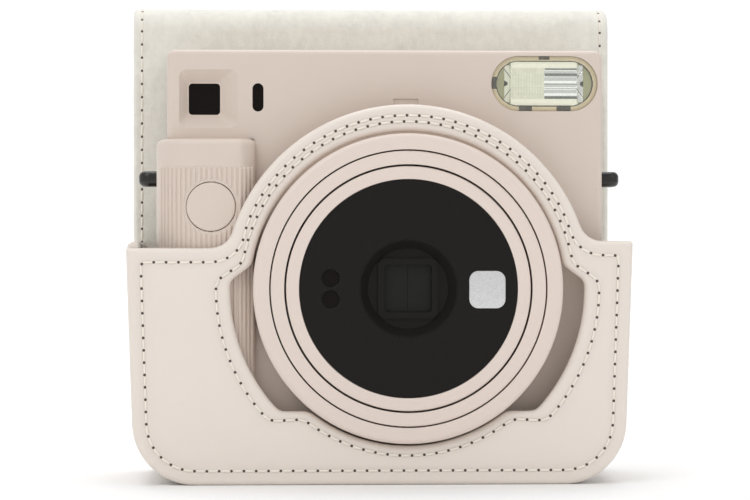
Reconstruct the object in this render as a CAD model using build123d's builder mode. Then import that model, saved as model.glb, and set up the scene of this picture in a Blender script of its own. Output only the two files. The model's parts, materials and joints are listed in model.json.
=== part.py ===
from build123d import *
from math import cos, radians, sin
import os

# An instant film camera, lens retracted and barrier shut, in its fitted leather case.
# Millimetres. +X is to the right seen from the front, the lens looks along -Y, +Z is up, and the
# origin is the middle of the case's base, where it meets the table.

# Camera body
BODY_LEFT, BODY_RIGHT = -61.1, 65.0
BODY_FRONT, BODY_BACK = -18.0, 25.5
BODY_BOTTOM, BODY_TOP = 6.4, 125.0
SPLIT_Y = 6.0
WALL = 2.0
BOTTOM_RADIUS, TOP_RADIUS, FRONT_ROUND = 10.0, 2.4, 1.5

# Grip, wrapped round the left front corner
GRIP_LEFT, GRIP_RIGHT = -64.3, -35.6
GRIP_FRONT, GRIP_REAR, GRIP_TOP = -25.0, 12.0, 99.1
GRIP_CORNER, FACET_WIDTH, FACET_DEPTH = 12.0, 4.3, 3.9
RIBS, RIB_PITCH, RIB_RADIUS, RIB_TOP = 21, 1.47, 0.42, 90.4
BUTTON_X, BUTTON_Z, BUTTON_RADIUS, BUTTON_FLANGE, BUTTON_TRAVEL = -48.4, 79.5, 7.0, 7.85, 1.2

# Lens, telescoping along -Y
LENS_X, LENS_Z = 7.9, 56.1
RING_FRONT = -32.0
RING_RADIUS, OUTER_BARREL_RADIUS, INNER_BARREL_RADIUS, FACE_RADIUS = 44.3, 39.3, 34.9, 31.1
GUIDE_BORE, GUIDE_RADIUS = 39.9, 42.0
HOOD_RADIUS, BARRIER_OPENING = 13.9, 13.6
BLADE_PIVOT = 8.2

# Windows in the front
FINDER_X, FINDER_Z, FINDER_RECESS, FINDER_WINDOW = -50.4, 110.8, 16.9, 9.1
METER_X, METER_Z, METER_WIDTH, METER_HEIGHT = -34.9, 111.2, 3.2, 8.2
FLASH_X, FLASH_Z, FLASH_WIDTH, FLASH_HEIGHT = 48.2, 115.4, 31.0, 16.0
REFLECTOR_WIDTH, REFLECTOR_HEIGHT = 23.2, 12.8
MARK_WIDTH, MARK_HEIGHT, MARK_TOP = 7.2, 1.6, 110.9

# Film: a ten-sheet square pack behind a 62 mm gate
IMAGE_SIDE = 62.0
PACK_X0, PACK_X1, PACK_Z0, PACK_Z1, PACK_Y0, PACK_Y1 = -31.6, 47.4, 15.0, 110.0, 4.0, 22.0
SHEET_WIDTH, SHEET_HEIGHT, SHEET_STACK = 72.0, 86.0, 6.0
ROLLER_Z, ROLLER_Y0, ROLLER_Y1, ROLLER_RADIUS = 114.0, 2.5, 9.7, 3.3
ROLLER_X0, ROLLER_X1 = -29.0, 45.0
GEAR_PITCH_RADIUS, GEAR_TEETH = 3.6, 12
PINION_PITCH_RADIUS, PINION_TEETH = 2.4, 8
PINION_Y = ROLLER_Y0 - GEAR_PITCH_RADIUS - PINION_PITCH_RADIUS
FILM_SLOT = 74.0

# Doors
DOOR_X0, DOOR_X1, DOOR_Z0, DOOR_Z1, DOOR_Y = -38.0, 56.2, 12.4, 116.0, 23.0
HINGE_X, HINGE_Y, PIN_RADIUS = 59.5, 23.4, 1.0
DOOR_WINDOW_X, DOOR_WINDOW_Z = -20.0, 30.0
BATTERY_X, BATTERY_Y, BATTERY_RADIUS, BATTERY_LENGTH = -50.5, -2.0, 7.8, 27.0
BATTERY_BOTTOM = 19.0
HATCH_Z0, HATCH_Z1, HATCH_TRAVEL = 17.2, 75.0, 4.0
COUNTER_X, COUNTER_Z = -51.0, 30.0

# Strap lugs
LUG_Z, LUG_HEIGHT, LUG_BORE = 88.0, 4.5, 1.6
LUG_LEFT_REACH, LUG_RIGHT_REACH, LUG_ROUND = 5.5, 6.9, 1.6

# Leather case
LEATHER = 2.6
PANEL_FRONT, PANEL_BACK = -29.0, -25.8
GUSSET_BACK, GUSSET_THICK = 27.3, 3.5
CASE_TOP_HALF, CASE_BASE_HALF, CASE_CORNER = 72.6, 70.2, 18.0
SHOULDER_LEFT, SHOULDER_RIGHT = 67.7, 69.7
ARCH_RADIUS, OPENING_RADIUS, SIDE_WINDOW_RADIUS = 52.7, 45.0, 50.8
BACK_Y, BACK_BOTTOM = 28.9, 1.0
RISER_HINGE_Z, FOLD_Z, FOLD_RADIUS = 127.0, 133.7, 6.0
FLAP_Y = BACK_Y + 2 * FOLD_RADIUS
LIP_HINGE_Z, LIP_LENGTH = 97.3, 25.0
GAP_ANGLE, BEND_GAP = 9.1, 1.5
STUD_X, STUD_HEIGHTS = -65.0, (24.0, 58.0)


def facing(y):
    """The vertical plane at y whose normal looks forward, along -Y: local x is X, local y is Z."""
    return Plane.XZ.offset(-y)


def block(x0, x1, y0, y1, z0, z1, mode=Mode.ADD):
    """A box between two corners."""
    with Locations(((x0 + x1) / 2, (y0 + y1) / 2, (z0 + z1) / 2)):
        Box(x1 - x0, y1 - y0, z1 - z0, mode=mode)


def disc(radius, y0, y1, x=LENS_X, z=LENS_Z, mode=Mode.ADD):
    """A cylinder along Y, on the lens axis unless placed elsewhere."""
    with Locations((x, (y0 + y1) / 2, z)):
        Cylinder(radius, y1 - y0, rotation=(90, 0, 0), mode=mode)


def rod_x(radius, x0, x1, y, z, mode=Mode.ADD):
    """A cylinder along X."""
    with Locations(((x0 + x1) / 2, y, z)):
        Cylinder(radius, x1 - x0, rotation=(0, 90, 0), mode=mode)


def rod_z(radius, z0, z1, x, y, mode=Mode.ADD):
    """A cylinder along Z."""
    with Locations((x, y, (z0 + z1) / 2)):
        Cylinder(radius, z1 - z0, mode=mode)


def outline(x0, x1, z0, z1, top_radius, bottom_radius):
    """A rectangle with one radius at its two upper corners and another at its two lower ones."""
    with BuildSketch(mode=Mode.PRIVATE) as shape:
        with Locations(((x0 + x1) / 2, (z0 + z1) / 2)):
            Rectangle(x1 - x0, z1 - z0)
        fillet(shape.vertices().group_by(Axis.Y)[0], bottom_radius)
        if top_radius:
            fillet(shape.vertices().group_by(Axis.Y)[-1], top_radius)
    return shape.sketch


def toothed_wheel(x0, x1, y, pitch_radius, teeth, phase):
    """A spur wheel along X at roller height, with trapezoid teeth and a little backlash."""
    root, tip = pitch_radius - 0.7, pitch_radius + 0.5
    with BuildSketch(Plane.YZ.offset(x0)) as profile:
        with Locations((y, ROLLER_Z)):
            Circle(root)
            with PolarLocations(0, teeth, start_angle=phase):
                Polygon((root - 0.4, -0.6), (tip, -0.2), (tip, 0.2), (root - 0.4, 0.6), align=None)
    extrude(profile.sketch, amount=x1 - x0)


def case_outline(left_top, right_top):
    """The case seen from the front: sides that lean out a little and round lower corners."""
    def lean(z):
        return CASE_BASE_HALF + (CASE_TOP_HALF - CASE_BASE_HALF) * min(z, SHOULDER_RIGHT) / SHOULDER_RIGHT

    with BuildSketch(mode=Mode.PRIVATE) as shape:
        Polygon(
            (-CASE_BASE_HALF, 0),
            (CASE_BASE_HALF, 0),
            (lean(right_top), right_top),
            (-lean(left_top), left_top),
            align=None,
        )
        fillet(shape.vertices().group_by(Axis.Y)[0], CASE_CORNER)
    return shape.sketch


def fold_arc(start, end):
    """A length of the leather's fold, in degrees from the panel side over the top."""
    half = LEATHER / 2
    middle = (start + end) / 2

    def on_fold(radius, angle):
        return (BACK_Y + FOLD_RADIUS - radius * cos(radians(angle)), FOLD_Z + radius * sin(radians(angle)))

    outer, inner = FOLD_RADIUS + half, FOLD_RADIUS - half
    with BuildSketch(Plane.YZ.offset(-CASE_TOP_HALF)) as profile:
        with BuildLine():
            ThreePointArc(on_fold(outer, start), on_fold(outer, middle), on_fold(outer, end))
            Line(on_fold(outer, end), on_fold(inner, end))
            ThreePointArc(on_fold(inner, end), on_fold(inner, middle), on_fold(inner, start))
            Line(on_fold(inner, start), on_fold(outer, start))
        make_face()
    extrude(profile.sketch, amount=2 * CASE_TOP_HALF)


body_outline = outline(BODY_LEFT, BODY_RIGHT, BODY_BOTTOM, BODY_TOP, TOP_RADIUS, BOTTOM_RADIUS)
body_cavity = outline(
    BODY_LEFT + WALL, BODY_RIGHT - WALL, BODY_BOTTOM + WALL, BODY_TOP - WALL, 0.5, BOTTOM_RADIUS - WALL
)
SCREWS = [(-55.6, 121.2), (60.8, 121.2), (-57.3, 79.0), (-41.2, 10.2)]
LUG_STEM = 2.0

# ---------------------------------------------------------------- camera shells

with BuildPart() as front_shell:
    with BuildSketch(facing(SPLIT_Y)):
        add(body_outline)
    extrude(amount=SPLIT_Y - BODY_FRONT)
    fillet(front_shell.faces().sort_by(Axis.Y)[0].edges(), FRONT_ROUND)
    with BuildSketch(facing(SPLIT_Y)):
        add(body_cavity)
    extrude(amount=SPLIT_Y - BODY_FRONT - WALL, mode=Mode.SUBTRACT)
    # pad behind the viewfinder recess
    block(FINDER_X - 9.0, FINDER_X + 10.5, BODY_FRONT + WALL, BODY_FRONT + 2 * WALL, FINDER_Z - 9.6, FINDER_Z + 9.6)
    with BuildSketch(facing(BODY_FRONT)):
        with Locations((FINDER_X + 1.2, FINDER_Z)):
            RectangleRounded(FINDER_RECESS, FINDER_RECESS, 2.2)
    with BuildSketch(facing(BODY_FRONT + 3.4)):
        with Locations((FINDER_X, FINDER_Z)):
            RectangleRounded(FINDER_WINDOW + 0.6, FINDER_WINDOW + 0.6, 1.4)
    loft(mode=Mode.SUBTRACT)
    with BuildSketch(facing(BODY_FRONT + 2 * WALL)):
        with Locations((FINDER_X, FINDER_Z)):
            RectangleRounded(FINDER_WINDOW, FINDER_WINDOW, 1.1)
    extrude(amount=WALL, mode=Mode.SUBTRACT)
    with BuildSketch(facing(BODY_FRONT + WALL)):
        with Locations((METER_X, METER_Z)):
            SlotOverall(METER_HEIGHT, METER_WIDTH, rotation=90)
        with Locations((FLASH_X, FLASH_Z)):
            SlotOverall(FLASH_WIDTH, FLASH_HEIGHT)
        with Locations((LENS_X, LENS_Z)):
            Circle(GUIDE_RADIUS + 0.3)
    extrude(amount=WALL, mode=Mode.SUBTRACT)
    # index mark above the lens
    block(
        LENS_X - MARK_WIDTH / 2, LENS_X + MARK_WIDTH / 2, BODY_FRONT, BODY_FRONT + 0.4,
        MARK_TOP - MARK_HEIGHT, MARK_TOP, mode=Mode.SUBTRACT,
    )
    # half of the film exit, the battery opening and the lug holes
    block(LENS_X - FILM_SLOT / 2, LENS_X + FILM_SLOT / 2, SPLIT_Y - 1.5, SPLIT_Y, BODY_TOP - WALL, BODY_TOP,
          mode=Mode.SUBTRACT)
    block(BODY_LEFT, BODY_LEFT + WALL, BATTERY_Y - 7.9, SPLIT_Y, HATCH_Z0 + 0.8, HATCH_Z1 - 1, mode=Mode.SUBTRACT)
    rod_x(LUG_STEM + 0.05, BODY_LEFT, BODY_LEFT + WALL, 0, LUG_Z, mode=Mode.SUBTRACT)
    rod_x(LUG_STEM + 0.05, BODY_RIGHT - WALL, BODY_RIGHT, 0, LUG_Z, mode=Mode.SUBTRACT)
    # screw bosses
    for x, z in SCREWS:
        disc(2.0, -2.0, SPLIT_Y, x, z)
        disc(0.95, -1.0, SPLIT_Y, x, z, mode=Mode.SUBTRACT)
front_shell.part.label = "front_shell"

with BuildPart() as rear_shell:
    with BuildSketch(facing(BODY_BACK)):
        add(body_outline)
    extrude(amount=BODY_BACK - SPLIT_Y)
    fillet(rear_shell.faces().sort_by(Axis.Y)[-1].edges(), 1.5)
    with BuildSketch(facing(BODY_BACK - WALL)):
        add(body_cavity)
    extrude(amount=BODY_BACK - WALL - SPLIT_Y, mode=Mode.SUBTRACT)
    # door opening, with three lugs left in it for the hinge pin
    block(DOOR_X0 - 0.4, 62.0, BODY_BACK - WALL, BODY_BACK, DOOR_Z0 - 0.4, DOOR_Z1 + 0.4, mode=Mode.SUBTRACT)
    for z0, z1 in ((DOOR_Z0 - 0.4, 17.0), (61.0, 67.0), (111.0, DOOR_Z1 + 0.4)):
        block(HINGE_X - 2.2, 62.0, HINGE_Y - 2.0, HINGE_Y + 2.0, z0, z1)
    rod_z(PIN_RADIUS + 0.02, DOOR_Z0 - 0.3, DOOR_Z1 + 0.3, HINGE_X, HINGE_Y, mode=Mode.SUBTRACT)
    # film exit, eyepiece, counter window and latch slot
    block(LENS_X - FILM_SLOT / 2, LENS_X + FILM_SLOT / 2, SPLIT_Y, SPLIT_Y + 1.5, BODY_TOP - WALL, BODY_TOP,
          mode=Mode.SUBTRACT)
    block(FINDER_X - 6.1, FINDER_X + 6.1, BODY_BACK - WALL, BODY_BACK, FINDER_Z - 6.1, FINDER_Z + 6.1,
          mode=Mode.SUBTRACT)
    disc(2.6, BODY_BACK - WALL, BODY_BACK, COUNTER_X, COUNTER_Z + 5.0, mode=Mode.SUBTRACT)
    disc(1.4, 19.0, BODY_BACK - WALL, COUNTER_X, COUNTER_Z)
    block(-47.6, -45.4, BODY_BACK - WALL, BODY_BACK, 53.9, 69.1, mode=Mode.SUBTRACT)
    for x, z in SCREWS:
        disc(2.0, SPLIT_Y, BODY_BACK - WALL, x, z)
        disc(1.1, SPLIT_Y, BODY_BACK, x, z, mode=Mode.SUBTRACT)
        disc(1.95, BODY_BACK - 1.4, BODY_BACK, x, z, mode=Mode.SUBTRACT)
rear_shell.part.label = "rear_shell"

with BuildPart() as body_screws:
    for x, z in SCREWS:
        disc(1.9, BODY_BACK - 1.4, BODY_BACK - 0.2, x, z)
        disc(0.9, 0.0, BODY_BACK - 1.4, x, z)
        block(x - 0.9, x + 0.9, BODY_BACK - 0.7, BODY_BACK, z - 0.2, z + 0.2, mode=Mode.SUBTRACT)
        block(x - 0.2, x + 0.2, BODY_BACK - 0.7, BODY_BACK, z - 0.9, z + 0.9, mode=Mode.SUBTRACT)
body_screws.part.label = "body_screws"

# A solid the size of the closed camera body, to shape what wraps round it.
with BuildPart() as body_block:
    with BuildSketch(facing(BODY_BACK)):
        add(body_outline)
    extrude(amount=BODY_BACK - BODY_FRONT)

def on_grip(along):
    """The point x, y of the grip's plan outline that lies so far along it from the foot of its right facet."""
    facet = (FACET_WIDTH**2 + FACET_DEPTH**2) ** 0.5
    if along < facet:
        share = along / facet
        return GRIP_RIGHT - share * FACET_WIDTH, GRIP_FRONT + (1 - share) * FACET_DEPTH
    centre_x, centre_y = GRIP_LEFT + GRIP_CORNER, GRIP_FRONT + GRIP_CORNER
    x = GRIP_RIGHT - FACET_WIDTH - (along - facet)
    if x > centre_x:
        return x, GRIP_FRONT
    turn = (centre_x - x) / GRIP_CORNER
    return centre_x - GRIP_CORNER * sin(turn), centre_y - GRIP_CORNER * cos(turn)


with BuildPart() as grip_cover:
    with BuildSketch(facing(GRIP_REAR)):
        with Locations(((GRIP_LEFT + GRIP_RIGHT) / 2, (BODY_BOTTOM + GRIP_TOP) / 2)):
            Rectangle(GRIP_RIGHT - GRIP_LEFT, GRIP_TOP - BODY_BOTTOM)
    extrude(amount=GRIP_REAR - GRIP_FRONT)
    upright = grip_cover.edges().filter_by(Axis.Z).group_by(Axis.X)[0].sort_by(Axis.Y)
    fillet(upright[0], GRIP_CORNER)
    chamfer(upright[1], FACET_DEPTH, FACET_WIDTH)
    fillet(grip_cover.edges().filter_by(Axis.Y).group_by(Axis.X)[0].sort_by(Axis.Z)[0], BOTTOM_RADIUS)
    fillet(grip_cover.faces().sort_by(Axis.Z)[-1].edges(), 1.0)
    for count in range(RIBS):
        rod_z(RIB_RADIUS, BODY_BOTTOM + 4, RIB_TOP, *on_grip(1.0 + count * RIB_PITCH))
    disc(BUTTON_RADIUS + 1.2, GRIP_FRONT - 1, GRIP_FRONT, BUTTON_X, BUTTON_Z, mode=Mode.SUBTRACT)
    disc(RING_RADIUS + 0.3, GRIP_FRONT - 1, BODY_FRONT, mode=Mode.SUBTRACT)
    add(body_block.part, mode=Mode.SUBTRACT)
    block(BUTTON_X - BUTTON_FLANGE - 0.35, BUTTON_X + BUTTON_FLANGE + 0.25, GRIP_FRONT + WALL, BODY_FRONT,
          BODY_BOTTOM + WALL, GRIP_TOP - WALL, mode=Mode.SUBTRACT)
    disc(BUTTON_RADIUS + 0.12, GRIP_FRONT, GRIP_FRONT + WALL, BUTTON_X, BUTTON_Z, mode=Mode.SUBTRACT)
    # battery opening and the shallow seat that its hatch slides in
    block(GRIP_LEFT, BODY_LEFT, BATTERY_Y - 7.9, BATTERY_Y + 7.9, HATCH_Z0 + 0.8, HATCH_Z1 - 1, mode=Mode.SUBTRACT)
    block(GRIP_LEFT - 1, GRIP_LEFT + 1.5, BATTERY_Y - 10.0, BATTERY_Y + 10.0, HATCH_Z0 - 0.2,
          HATCH_Z1 + HATCH_TRAVEL + 0.3, mode=Mode.SUBTRACT)
    rod_x(LUG_STEM + 0.05, GRIP_LEFT, BODY_LEFT, 0, LUG_Z, mode=Mode.SUBTRACT)
grip_cover.part.label = "grip_cover"

# ---------------------------------------------------------------- shutter button

with BuildPart() as shutter_button:
    disc(BUTTON_RADIUS, GRIP_FRONT - 0.1, GRIP_FRONT + 2.4, BUTTON_X, BUTTON_Z)
    fillet(shutter_button.faces().sort_by(Axis.Y)[0].edges(), 0.4)
    disc(BUTTON_FLANGE, GRIP_FRONT + 2.4, GRIP_FRONT + 3.4, BUTTON_X, BUTTON_Z)
shutter_button.part.label = "shutter_button"

with BuildPart() as shutter_button_spring:
    with BuildLine() as coil:
        Helix(0.8, 3.1, 3.6, center=(BUTTON_X, BODY_FRONT - 0.24, BUTTON_Z), direction=(0, -1, 0))
    with BuildSketch(Plane(origin=coil.line @ 0, z_dir=coil.line % 0)):
        Circle(0.2)
    sweep(is_frenet=True)
shutter_button_spring.part.label = "shutter_button_spring"

with BuildPart() as shutter_switch:
    block(BUTTON_X - 2.2, BUTTON_X + 2.2, BODY_FRONT - 1.4, BODY_FRONT, BUTTON_Z - 2.2, BUTTON_Z + 2.2)
    disc(0.9, BODY_FRONT - 2.2, BODY_FRONT - 1.4, BUTTON_X, BUTTON_Z)
shutter_switch.part.label = "shutter_switch"

# ---------------------------------------------------------------- batteries

with BuildPart() as battery_tray:
    block(BATTERY_X - 8.5, BATTERY_X + 8.5, BATTERY_Y - 8.6, BATTERY_Y + 8.6, BATTERY_BOTTOM - 2.4, BATTERY_BOTTOM + 57.0)
    block(BATTERY_X - 8.5, BATTERY_X + 7.9, BATTERY_Y - 7.9, BATTERY_Y + 7.9, BATTERY_BOTTOM - 1.4, BATTERY_BOTTOM + 56.0,
          mode=Mode.SUBTRACT)
battery_tray.part.label = "battery_tray"

with BuildPart() as batteries:
    for z in (BATTERY_BOTTOM, BATTERY_BOTTOM + BATTERY_LENGTH + 0.5):
        rod_z(BATTERY_RADIUS, z, z + BATTERY_LENGTH - 1.0, BATTERY_X, BATTERY_Y)
        rod_z(2.6, z + BATTERY_LENGTH - 1.0, z + BATTERY_LENGTH, BATTERY_X, BATTERY_Y)
batteries.part.label = "batteries"

with BuildPart() as battery_contacts:
    for z0, z1 in ((BATTERY_BOTTOM - 1.4, BATTERY_BOTTOM), (BATTERY_BOTTOM + 54.5, BATTERY_BOTTOM + 56.0)):
        block(BATTERY_X - 4, BATTERY_X + 4, BATTERY_Y - 4, BATTERY_Y + 4, z0, z1)
battery_contacts.part.label = "battery_contacts"

with BuildPart() as battery_door:
    block(GRIP_LEFT, GRIP_LEFT + 1.4, BATTERY_Y - 9.8, BATTERY_Y + 9.8, HATCH_Z0, HATCH_Z1)
    fillet(battery_door.faces().sort_by(Axis.X)[0].edges(), 0.5)
    for z in (58.0, 60.0, 62.0):
        block(GRIP_LEFT, GRIP_LEFT + 0.4, BATTERY_Y - 4, BATTERY_Y + 4, z, z + 0.8, mode=Mode.SUBTRACT)
battery_door.part.label = "battery_door"

# ---------------------------------------------------------------- lens assembly

with BuildPart() as lens_guide_tube:
    disc(GUIDE_RADIUS, -28.8, -2.5)
    disc(46.0, -16.0, -14.0)
    disc(GUIDE_BORE, -28.8, -2.5, mode=Mode.SUBTRACT)
lens_guide_tube.part.label = "lens_guide_tube"

with BuildPart() as mode_ring:
    disc(RING_RADIUS, RING_FRONT, BODY_FRONT - 0.4)
    fillet(mode_ring.faces().sort_by(Axis.Y)[0].edges(), 1.4)
    disc(39.7, RING_FRONT, -29.1, mode=Mode.SUBTRACT)
    disc(GUIDE_RADIUS + 0.3, -29.1, BODY_FRONT - 0.4, mode=Mode.SUBTRACT)
mode_ring.part.label = "mode_ring"

with BuildPart() as outer_barrel:
    disc(OUTER_BARREL_RADIUS, RING_FRONT, -8.0)
    fillet(outer_barrel.faces().sort_by(Axis.Y)[0].edges(), 0.4)
    disc(INNER_BARREL_RADIUS + 0.55, RING_FRONT, -30.0, mode=Mode.SUBTRACT)
    disc(37.3, -30.0, -8.0, mode=Mode.SUBTRACT)
outer_barrel.part.label = "outer_barrel"

with BuildPart() as inner_barrel:
    disc(INNER_BARREL_RADIUS, RING_FRONT, -10.0)
    fillet(inner_barrel.faces().sort_by(Axis.Y)[0].edges(), 0.4)
    disc(37.0, -10.0, -8.0)
    disc(32.9, -28.4, -8.0, mode=Mode.SUBTRACT)
    disc(FACE_RADIUS + 0.15, RING_FRONT, -30.4, mode=Mode.SUBTRACT)
    disc(HOOD_RADIUS + 0.3, -30.4, -28.4, mode=Mode.SUBTRACT)
inner_barrel.part.label = "inner_barrel"

MIRROR_X, MIRROR_Z = LENS_X + 22.5, LENS_Z - 0.3
with BuildPart() as lens_face_plate:
    disc(FACE_RADIUS, -31.7, -30.4)
    disc(HOOD_RADIUS + 0.15, -31.7, -30.4, mode=Mode.SUBTRACT)
    for z in (LENS_Z - 3.0, LENS_Z + 3.0):
        disc(2.55, -31.7, -30.4, LENS_X - 22.2, z, mode=Mode.SUBTRACT)
    with BuildSketch(facing(-30.4)):
        with Locations((MIRROR_X, MIRROR_Z)):
            RectangleRounded(10.5, 10.8, 2.7)
    extrude(amount=1.3, mode=Mode.SUBTRACT)
lens_face_plate.part.label = "lens_face_plate"

with BuildPart() as selfie_mirror:
    with BuildSketch(facing(-30.4)):
        with Locations((MIRROR_X, MIRROR_Z)):
            RectangleRounded(10.3, 10.6, 2.6)
    extrude(amount=1.35)
selfie_mirror.part.label = "selfie_mirror"

with BuildPart() as light_sensor_windows:
    for z in (LENS_Z - 3.0, LENS_Z + 3.0):
        disc(2.5, -31.2, -30.4, LENS_X - 22.2, z)
light_sensor_windows.part.label = "light_sensor_windows"

with BuildPart() as lens_hood:
    disc(HOOD_RADIUS + 0.1, -31.6, -27.5)
    with BuildSketch(facing(-31.6)):
        with Locations((LENS_X, LENS_Z)):
            Circle(HOOD_RADIUS - 0.2)
    with BuildSketch(facing(-28.5)):
        with Locations((LENS_X, LENS_Z)):
            Circle(11.5)
    loft(mode=Mode.SUBTRACT)
    with BuildSketch(facing(-28.5)):
        with Locations((LENS_X, LENS_Z)):
            RectangleRounded(17.2, 17.2, 2.2)
    extrude(amount=0.7)
    with BuildSketch(facing(-27.5)):
        with Locations((LENS_X, LENS_Z)):
            RectangleRounded(BARRIER_OPENING, BARRIER_OPENING, 1.1)
    extrude(amount=2.0, mode=Mode.SUBTRACT)
lens_hood.part.label = "lens_hood"

with BuildPart() as barrier_leaf_left:
    block(LENS_X - 7.3, LENS_X - 0.04, -27.3, -26.7, LENS_Z - 7.5, LENS_Z + 7.5)
barrier_leaf_left.part.label = "barrier_leaf_left"

with BuildPart() as barrier_leaf_right:
    block(LENS_X + 0.04, LENS_X + 7.3, -27.3, -26.7, LENS_Z - 7.5, LENS_Z + 7.5)
barrier_leaf_right.part.label = "barrier_leaf_right"

with BuildPart() as lens_cell:
    disc(13.2, -26.2, -11.0)
    disc(32.8, -22.0, -20.5)
    disc(10.8, -26.2, -19.6, mode=Mode.SUBTRACT)
    disc(3.2, -19.6, -18.8, mode=Mode.SUBTRACT)
    disc(12.2, -18.8, -16.2, mode=Mode.SUBTRACT)
    disc(9.1, -16.2, -11.0, mode=Mode.SUBTRACT)
    disc(0.55, -18.8, -17.7, LENS_X, LENS_Z - BLADE_PIVOT)
lens_cell.part.label = "lens_cell"


def element(rim, edge_front, edge_back, bulge):
    """A round glass element: a disc with a spherical front, turned about the lens axis."""
    sphere = (rim**2 + bulge**2) / (2 * bulge)
    halfway = edge_front - bulge + sphere - (sphere**2 - rim**2 / 4) ** 0.5
    with BuildSketch(Plane(origin=(LENS_X, 0, LENS_Z), x_dir=(1, 0, 0), z_dir=(0, 0, 1))) as section:
        with BuildLine():
            Line((0, edge_back), (rim, edge_back))
            Line((rim, edge_back), (rim, edge_front))
            ThreePointArc((rim, edge_front), (rim / 2, halfway), (0, edge_front - bulge))
            Line((0, edge_front - bulge), (0, edge_back))
        make_face()
    revolve(section.sketch, axis=Axis((LENS_X, 0, LENS_Z), (0, 1, 0)))


with BuildPart() as front_lens_element:
    element(10.75, -23.4, -21.0, 2.2)
front_lens_element.part.label = "front_lens_element"

with BuildPart() as rear_lens_element:
    element(9.05, -14.4, -12.6, 1.4)
rear_lens_element.part.label = "rear_lens_element"

with BuildPart() as shutter_blade:
    disc(4.2, -18.5, -18.1)
    block(LENS_X - 1.2, LENS_X + 1.2, -18.5, -18.1, LENS_Z - BLADE_PIVOT, LENS_Z)
    disc(1.5, -18.5, -18.1, LENS_X, LENS_Z - BLADE_PIVOT)
    disc(0.6, -18.5, -18.1, LENS_X, LENS_Z - BLADE_PIVOT, mode=Mode.SUBTRACT)
shutter_blade.part.label = "shutter_blade"

# ---------------------------------------------------------------- viewfinder, meter and flash

with BuildPart() as viewfinder_window:
    block(FINDER_X - 5.6, FINDER_X + 5.6, -14.0, -13.0, FINDER_Z - 5.6, FINDER_Z + 5.6)
viewfinder_window.part.label = "viewfinder_window"

with BuildPart() as viewfinder_tunnel:
    block(FINDER_X - 5.8, FINDER_X + 5.8, -13.0, 21.5, FINDER_Z - 5.8, FINDER_Z + 5.8)
    block(FINDER_X - 4.8, FINDER_X + 4.8, -13.0, 21.5, FINDER_Z - 4.8, FINDER_Z + 4.8, mode=Mode.SUBTRACT)
viewfinder_tunnel.part.label = "viewfinder_tunnel"

with BuildPart() as viewfinder_eyepiece:
    block(FINDER_X - 6.0, FINDER_X + 6.0, 21.5, 26.4, FINDER_Z - 6.0, FINDER_Z + 6.0)
    fillet(viewfinder_eyepiece.edges().filter_by(Axis.Y), 1.2)
    with BuildSketch(facing(26.4)):
        with Locations((FINDER_X, FINDER_Z)):
            RectangleRounded(8.0, 8.0, 1.0)
    extrude(amount=1.2, mode=Mode.SUBTRACT)
viewfinder_eyepiece.part.label = "viewfinder_eyepiece"

with BuildPart() as meter_window:
    with BuildSketch(facing(BODY_FRONT + WALL)):
        with Locations((METER_X, METER_Z)):
            SlotOverall(METER_HEIGHT - 0.2, METER_WIDTH - 0.2, rotation=90)
    extrude(amount=WALL - 0.5)
    with BuildSketch(facing(BODY_FRONT + WALL + 0.9)):
        with Locations((METER_X, METER_Z)):
            Rectangle(5.0, 10.0)
    extrude(amount=0.9)
meter_window.part.label = "meter_window"

with BuildPart() as flash_bezel:
    with BuildSketch(facing(BODY_FRONT + WALL)):
        with Locations((FLASH_X, FLASH_Z)):
            SlotOverall(FLASH_WIDTH - 0.2, FLASH_HEIGHT - 0.2)
            RectangleRounded(REFLECTOR_WIDTH, REFLECTOR_HEIGHT, 1.0, mode=Mode.SUBTRACT)
    extrude(amount=WALL - 0.6)
flash_bezel.part.label = "flash_bezel"

with BuildPart() as flash_window:
    with BuildSketch(facing(BODY_FRONT + 0.6)):
        with Locations((FLASH_X, FLASH_Z)):
            SlotOverall(FLASH_WIDTH - 0.2, FLASH_HEIGHT - 0.2)
    extrude(amount=1.4)
    fillet(flash_window.faces().sort_by(Axis.Y)[0].edges(), 0.5)
flash_window.part.label = "flash_window"

with BuildPart() as flash_reflector:
    with BuildSketch(facing(BODY_FRONT + WALL)):
        with Locations((FLASH_X, FLASH_Z)):
            Rectangle(REFLECTOR_WIDTH, REFLECTOR_HEIGHT)
    with BuildSketch(facing(-9.0)):
        with Locations((FLASH_X, FLASH_Z)):
            Rectangle(REFLECTOR_WIDTH, 5.0)
    loft()
    with BuildSketch(facing(BODY_FRONT + WALL)):
        with Locations((FLASH_X, FLASH_Z)):
            Rectangle(REFLECTOR_WIDTH - 1.2, REFLECTOR_HEIGHT - 1.2)
    with BuildSketch(facing(-9.6)):
        with Locations((FLASH_X, FLASH_Z)):
            Rectangle(REFLECTOR_WIDTH - 1.2, 4.0)
    loft(mode=Mode.SUBTRACT)
flash_reflector.part.label = "flash_reflector"

with BuildPart() as flash_tube:
    rod_x(1.1, FLASH_X - 10.6, FLASH_X + 10.6, -11.6, FLASH_Z)
flash_tube.part.label = "flash_tube"

with BuildPart() as flash_capacitor:
    rod_x(5.6, -10.0, 22.0, -9.0, 113.0)
flash_capacitor.part.label = "flash_capacitor"

with BuildPart() as main_board:
    block(-41.5, -40.3, -14.0, 3.5, 16.0, 104.0)
    block(-40.3, -37.7, -12.0, -4.0, 30.0, 38.0)
    block(-40.3, -37.3, -11.0, 1.0, 60.0, 72.0)
main_board.part.label = "main_board"

# ---------------------------------------------------------------- film path

with BuildPart() as film_gate:
    block(PACK_X0 - 4, PACK_X1 + 4, -2.3, 3.6, PACK_Z0 - 3, PACK_Z1 - 3)
    block(LENS_X - IMAGE_SIDE / 2, LENS_X + IMAGE_SIDE / 2, -2.3, 3.6, LENS_Z - IMAGE_SIDE / 2,
          LENS_Z + IMAGE_SIDE / 2, mode=Mode.SUBTRACT)
film_gate.part.label = "film_gate"

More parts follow.
